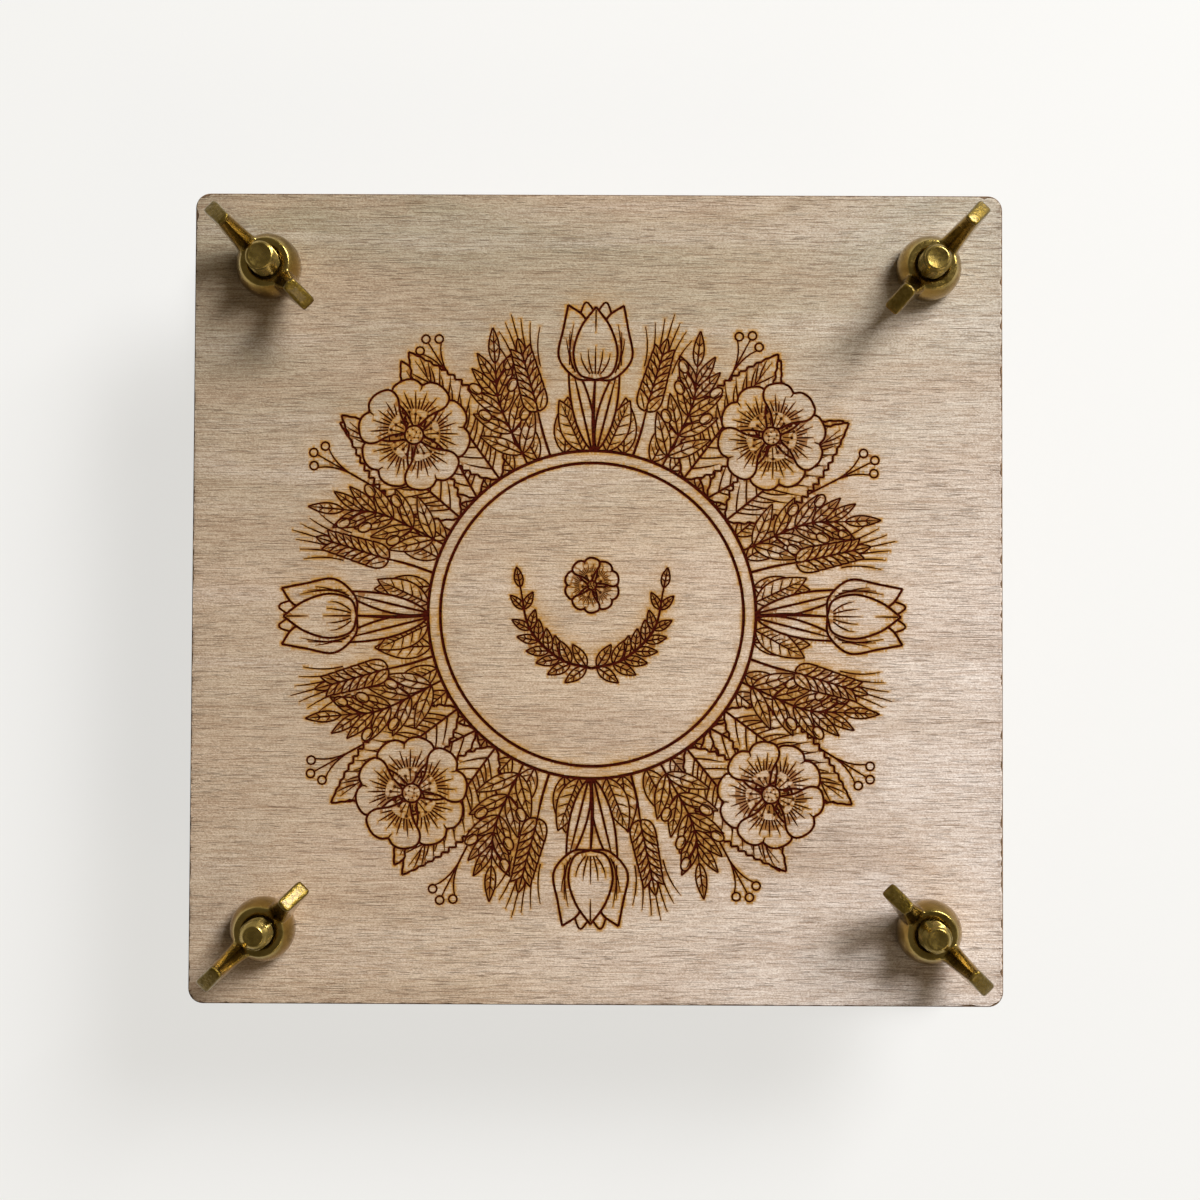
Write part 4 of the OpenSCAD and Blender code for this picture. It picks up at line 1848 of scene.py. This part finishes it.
    def mark_tips(self, mesh: bpy.types.Mesh) -> None:
        """Marks the wings' blunt ends, which keep the matt skin of the casting, are darkened by it and by a
        painted dark reflection, and carry a painted highlight round their rims.

        Args:
            mesh: The casting's mesh.
        """
        spots = np.zeros(len(mesh.vertices) * 3, np.float32)
        mesh.vertices.foreach_get("co", spots)
        spots = spots.reshape(-1, 3) / MM
        flat = np.abs(spots[:, 0]) + 1j * spots[:, 2]
        crest, tip = self.inner[-1], self.outer[-1]
        depth = ((flat - crest) / (unit(tip - crest) * -1j)).real
        matt = np.clip((self.skin_depth - depth) / self.skin_fade, 0, 1)
        matt *= flat.real > crest.real - 0.9
        layer = mesh.attributes.new(Mark.TIP.value, "FLOAT", "POINT")
        layer.data.foreach_set("value", matt.astype(np.float32))

    def build(self, finish: bpy.types.Material) -> None:
        """Builds the four nuts and dresses them.

        Args:
            finish: The nuts' finish.
        """
        draft = Draft()
        self.hub(draft)
        for side in (1, -1):
            self.wing(draft, side)
        mesh = self.cast(draft)
        self.mark_tips(mesh)
        mesh.shade_smooth()
        mesh.materials.clear()
        for corner in Corner:
            node = f"wing_nut_{corner.number}"
            own = mesh.copy()
            own.name = node + "_cast"
            stand(own, corner, math.radians(corner.wing_angle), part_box(node)[0].z)
            place(own, node, node, Slot.NUT, finish)


# Stack


@dataclass
class CorrugatedCard:
    """A corrugated card: two flat liners, and a wavy paper between them with its ends open.

    Attributes:
        number: Its number from the bottom of the stack.
        finish: Its material.
        half: Half its side.
        cut_reach: The sum of the distances from its middle, along X and Y, at which its corners are cut.
        liner: The thickness of a liner.
        flute: The thickness of the wavy paper.
        swing: How far the wavy paper swings up and down.
        pitch: The length of a wave.
        steps_per_wave: Steps along a wave.
        shift: How far a card may lie off the middle.
        twist_deg: How far it may be turned, in degrees.
        strew_deg: The angle that strews the cards' shifts and turns by their numbers, in degrees.
    """

    number: int
    finish: bpy.types.Material
    half: float = 77.5
    cut_reach: float = 126.85
    liner: float = 0.35
    flute: float = 0.30
    swing: float = 1.01
    pitch: float = 6.5
    steps_per_wave: int = 16
    shift: float = 0.5
    twist_deg: float = 0.3
    strew_deg: float = 137.5

    def depth(self, x: np.ndarray) -> np.ndarray:
        """Half the card's length across x, between its cut corners."""
        return np.minimum(self.half, self.cut_reach - np.abs(x))

    def flat_sheet(self, draft: Draft, low: float, high: float) -> None:
        """Adds one liner.

        Args:
            draft: The card's draft.
            low: Its underside.
            high: Its upper side.
        """
        x = np.array([-self.half, self.depth(self.half) * -1, self.depth(self.half), self.half])
        right = [complex(a, -self.depth(a)) for a in x]
        loop = np.array(right + [p.conjugate() for p in reversed(right)])
        points, faces = skin([lift(loop, low), lift(loop, high)])
        n = len(loop)
        faces += [list(range(n))[::-1], list(range(n, 2 * n))]
        draft.add(points, faces)

    def wavy_sheet(self, draft: Draft, middle: float) -> None:
        """Adds the wavy paper.

        Args:
            draft: The card's draft.
            middle: The height of its middle.
        """
        kink = float(self.depth(np.array(self.half)))
        count = int(2 * self.half / self.pitch * self.steps_per_wave)
        x = np.unique(np.concatenate([np.linspace(-self.half, self.half, count), [-kink, kink]]))
        angle = FULL_TURN * x / self.pitch
        z = middle + self.swing * np.cos(angle)
        slope = -self.swing * FULL_TURN / self.pitch * np.sin(angle)
        out = np.column_stack([-slope, np.ones(len(x))]) / np.sqrt(1 + slope**2)[:, None]
        rim = []
        for side, end in ((1, -1), (1, 1), (-1, 1), (-1, -1)):
            reach = out * side * self.flute / 2
            across = np.clip(x + reach[:, 0], -self.half, self.half)
            rim.append(np.column_stack([across, end * self.depth(across), z + reach[:, 1]]))
        points, faces = skin([np.array([r[k] for r in rim]) for k in range(len(x))])
        last = 4 * (len(x) - 1)
        faces += [[0, 1, 2, 3], [last + 3, last + 2, last + 1, last]]
        draft.add(points, faces)

    def build(self) -> None:
        """Builds the card where the CAD model has it, every second one with its flutes the other way."""
        node = f"card_{self.number}"
        low, high = (corner.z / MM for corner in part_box(node))
        draft = Draft()
        self.flat_sheet(draft, low, low + self.liner)
        self.flat_sheet(draft, high - self.liner, high)
        self.wavy_sheet(draft, (low + high) / 2)
        mesh = draft.mesh(node + "_fluted", smooth_deg=50)
        angle = math.radians(self.number * self.strew_deg)
        turn = math.radians(self.twist_deg * math.sin(3 * angle))
        if self.number % 2 == 0:
            turn += math.pi / 2
        x, y = self.shift * math.sin(angle) * MM, self.shift * math.cos(2 * angle) * MM
        mesh.transform(Matrix.Translation((x, y, 0)) @ Matrix.Rotation(turn, 4, "Z"))
        place(mesh, node, "base", Slot.CARD, self.finish)


@dataclass
class Stack:
    """The cards and the blotting sheets between them."""

    kraft: bpy.types.Material
    blotting: bpy.types.Material

    def build(self) -> None:
        """Builds the cards, and dresses the sheets that the CAD model makes."""
        for name, node in frame["nodes"].items():
            if name.startswith("card_"):
                CorrugatedCard(int(name.split("_")[1]), self.kraft).build()
            if name.startswith("blotter_"):
                node.data.materials.clear()
                node.data.materials.append(self.blotting)
                LOG.info("%s: dressed", name)


# Studio


@dataclass(frozen=True)
class Lamp:
    """A soft rectangular lamp aimed at the press.

    Attributes:
        name: Its name.
        at: Where it hangs, in metres.
        size: Its sides, in metres.
        watts: Its power.
        colour: Its colour.
    """

    name: str
    at: tuple[float, float, float]
    size: tuple[float, float]
    watts: float
    colour: Colour

    def hang(self, target: Vector) -> None:
        """Hangs the lamp and turns it to the target.

        Args:
            target: Where the lamp is aimed, in metres.
        """
        data = bpy.data.lights.new(self.name, "AREA")
        data.shape = "RECTANGLE"
        data.size, data.size_y = self.size
        data.energy = self.watts
        data.color = self.colour
        lamp = bpy.data.objects.new(self.name, data)
        lamp.location = self.at
        lamp.rotation_euler = (target - Vector(self.at)).to_track_quat("-Z", "Y").to_euler()
        bpy.context.scene.collection.objects.link(lamp)


@dataclass(frozen=True)
class Studio:
    """A pale floor, soft light from the upper right, and the camera looking straight down.

    Attributes:
        pale: The floor's colour.
        shown: The colour that floor and backdrop show to the camera.
        glow: How much of what the floor shows is its own glow, so that shadows stay soft.
        lit: The share of the shown colour that the lamps light.
        fade: The distances from the middle, in metres, between which the floor fades away.
        haze: The room's pale colour near the horizon, as it lights the press.
        zenith: The room's colour overhead.
        ceiling: The room's colour overhead where it is mirrored in gloss.
        room: The strength of the room's light.
        camera_at: Where the camera is, in millimetres.
        camera_turn_deg: How it is turned from looking straight down.
        lens_mm: Its focal length.
        lamps: The lamps.
    """

    pale: Colour = (0.72, 0.71, 0.685)
    shown: Colour = (0.920, 0.910, 0.880)
    glow: float = 0.75
    lit: float = 0.24
    fade: tuple[float, float] = (0.5, 1.6)
    haze: Colour = (0.990, 0.800, 0.530)
    zenith: Colour = (0.035, 0.035, 0.036)
    ceiling: Colour = (0.230, 0.205, 0.150)
    room: float = 0.7
    camera_at: tuple[float, float, float] = (1.76, -11.55, 438.1)
    camera_turn_deg: tuple[float, float, float] = (1.594, 0.1635, 0.250)
    lens_mm: float = 58.71
    lamps: tuple[Lamp, ...] = (
        Lamp("window", (0.92, 0.92, 1.15), (0.72, 0.72), 38.8, (0.975, 1.0, 1.055)),
        Lamp("glint", (1.10, 1.16, 0.62), (0.35, 0.35), 4.5, (1.0, 1.0, 0.98)),
        Lamp("fill", (1.0, -1.2, 1.3), (0.9, 0.5), 5.0, (1.0, 0.88, 0.70)),
    )

    def build_floor(self) -> None:
        """Lays the floor, which glows pale, keeps the shadow, fades far away, and is clear from below."""
        floor = bpy.data.objects.new("floor", bpy.data.meshes.new("floor"))
        reach = 5.0
        corners = [(-reach, -reach, 0), (reach, -reach, 0), (reach, reach, 0), (-reach, reach, 0)]
        floor.data.from_pydata(corners, [], [(0, 1, 2, 3)])
        made = bpy.data.materials.new("studio_floor")
        made.use_nodes = True
        tree = Tree(made.node_tree)
        ray = tree.node("ShaderNodeLightPath")
        seen = tree.math("MAXIMUM", ray.outputs["Is Camera Ray"], ray.outputs["Is Glossy Ray"])
        tone = tree.mix(seen, self.pale, tuple(self.lit * c for c in self.shown))
        lit = tree.node("ShaderNodeBsdfDiffuse", {"Color": tone})
        strength = tree.math("MULTIPLY", seen, self.glow)
        glow = tree.node("ShaderNodeEmission", {"Color": (*self.shown, 1.0), "Strength": strength})
        both = tree.node("ShaderNodeAddShader", {0: lit.outputs[0], 1: glow.outputs[0]})
        clear = tree.node("ShaderNodeBsdfTransparent")
        below = tree.node("ShaderNodeNewGeometry").outputs["Backfacing"]
        where = tree.node("ShaderNodeTexCoord").outputs["Object"]
        away = tree.node("ShaderNodeVectorMath", {0: where}, operation="LENGTH").outputs["Value"]
        unseen = tree.math("MAXIMUM", below, tree.span(away, *self.fade))
        whole = tree.node("ShaderNodeMixShader", {0: unseen, 1: both.outputs[0], 2: clear.outputs[0]})
        tree.node("ShaderNodeOutputMaterial", {"Surface": whole.outputs[0]})
        floor.data.materials.append(made)
        bpy.context.scene.collection.objects.link(floor)

    def build_sky(self) -> None:
        """Makes the room: pale near the horizon, most on the window's side, and dark overhead."""
        world = bpy.data.worlds.new("studio")
        world.use_nodes = True
        bpy.context.scene.world = world
        tree = Tree(world.node_tree)
        way = tree.node("ShaderNodeTexCoord").outputs["Generated"]
        axes = tree.node("ShaderNodeSeparateXYZ", {0: way}).outputs
        side = tree.span(tree.math("ADD", axes["X"], axes["Y"]), -1.3, 1.3, 0.12, 1.0)
        level = tree.span(axes["Z"], 0.10, 0.80, 1.0, 0.0)
        ray = tree.node("ShaderNodeLightPath").outputs
        above = tree.mix(ray["Is Glossy Ray"], self.zenith, self.ceiling)
        pale = tree.mix(ray["Is Glossy Ray"], self.haze, self.shown)
        tone = tree.mix(tree.math("MULTIPLY", side, level), above, pale)
        sky = tree.node("ShaderNodeBackground", {"Color": tone, "Strength": self.room})
        card = tree.node("ShaderNodeBackground", {"Color": (*self.shown, 1.0), "Strength": 1.0})
        inputs = {0: ray["Is Camera Ray"], 1: sky.outputs[0], 2: card.outputs[0]}
        both = tree.node("ShaderNodeMixShader", inputs)
        tree.node("ShaderNodeOutputWorld", {"Surface": both.outputs[0]})

    def build_camera(self) -> None:
        """Sets the camera where the photograph was taken from."""
        data = bpy.data.cameras.new("camera")
        data.lens = self.lens_mm
        data.clip_start = 0.01
        camera = bpy.data.objects.new("camera", data)
        camera.location = Vector(self.camera_at) * MM
        camera.rotation_euler = [math.radians(a) for a in self.camera_turn_deg]
        bpy.context.scene.collection.objects.link(camera)
        bpy.context.scene.camera = camera

    def build(self) -> None:
        """Builds the studio round the press."""
        self.build_floor()
        self.build_sky()
        for lamp in self.lamps:
            lamp.hang(Vector((0, 0, 0.03)))
        self.build_camera()
        bpy.context.scene.view_settings.view_transform = "Standard"


def main() -> None:
    """Builds the press in order, from the boards to the studio."""
    logging.basicConfig(level=logging.INFO, format="%(message)s")
    face = BirchFace().material("birch_face")
    edge = PlyEdge().material("ply_edge")
    Board("bottom_board", "base", sockets=True).build(face, edge)
    Board("top_board", "top_board", Wreath().draw(), splits()).build(face, edge)
    CarriageBolt().build(Brass(polish=0.2, grit=0.15).material("turned_brass"))
    WingNut().build(Brass().material("cast_brass"))
    Stack(KRAFT.material("kraft_board"), BLOTTING.material("blotting_paper")).build()
    Studio().build()


if __name__ == "__main__":
    main()
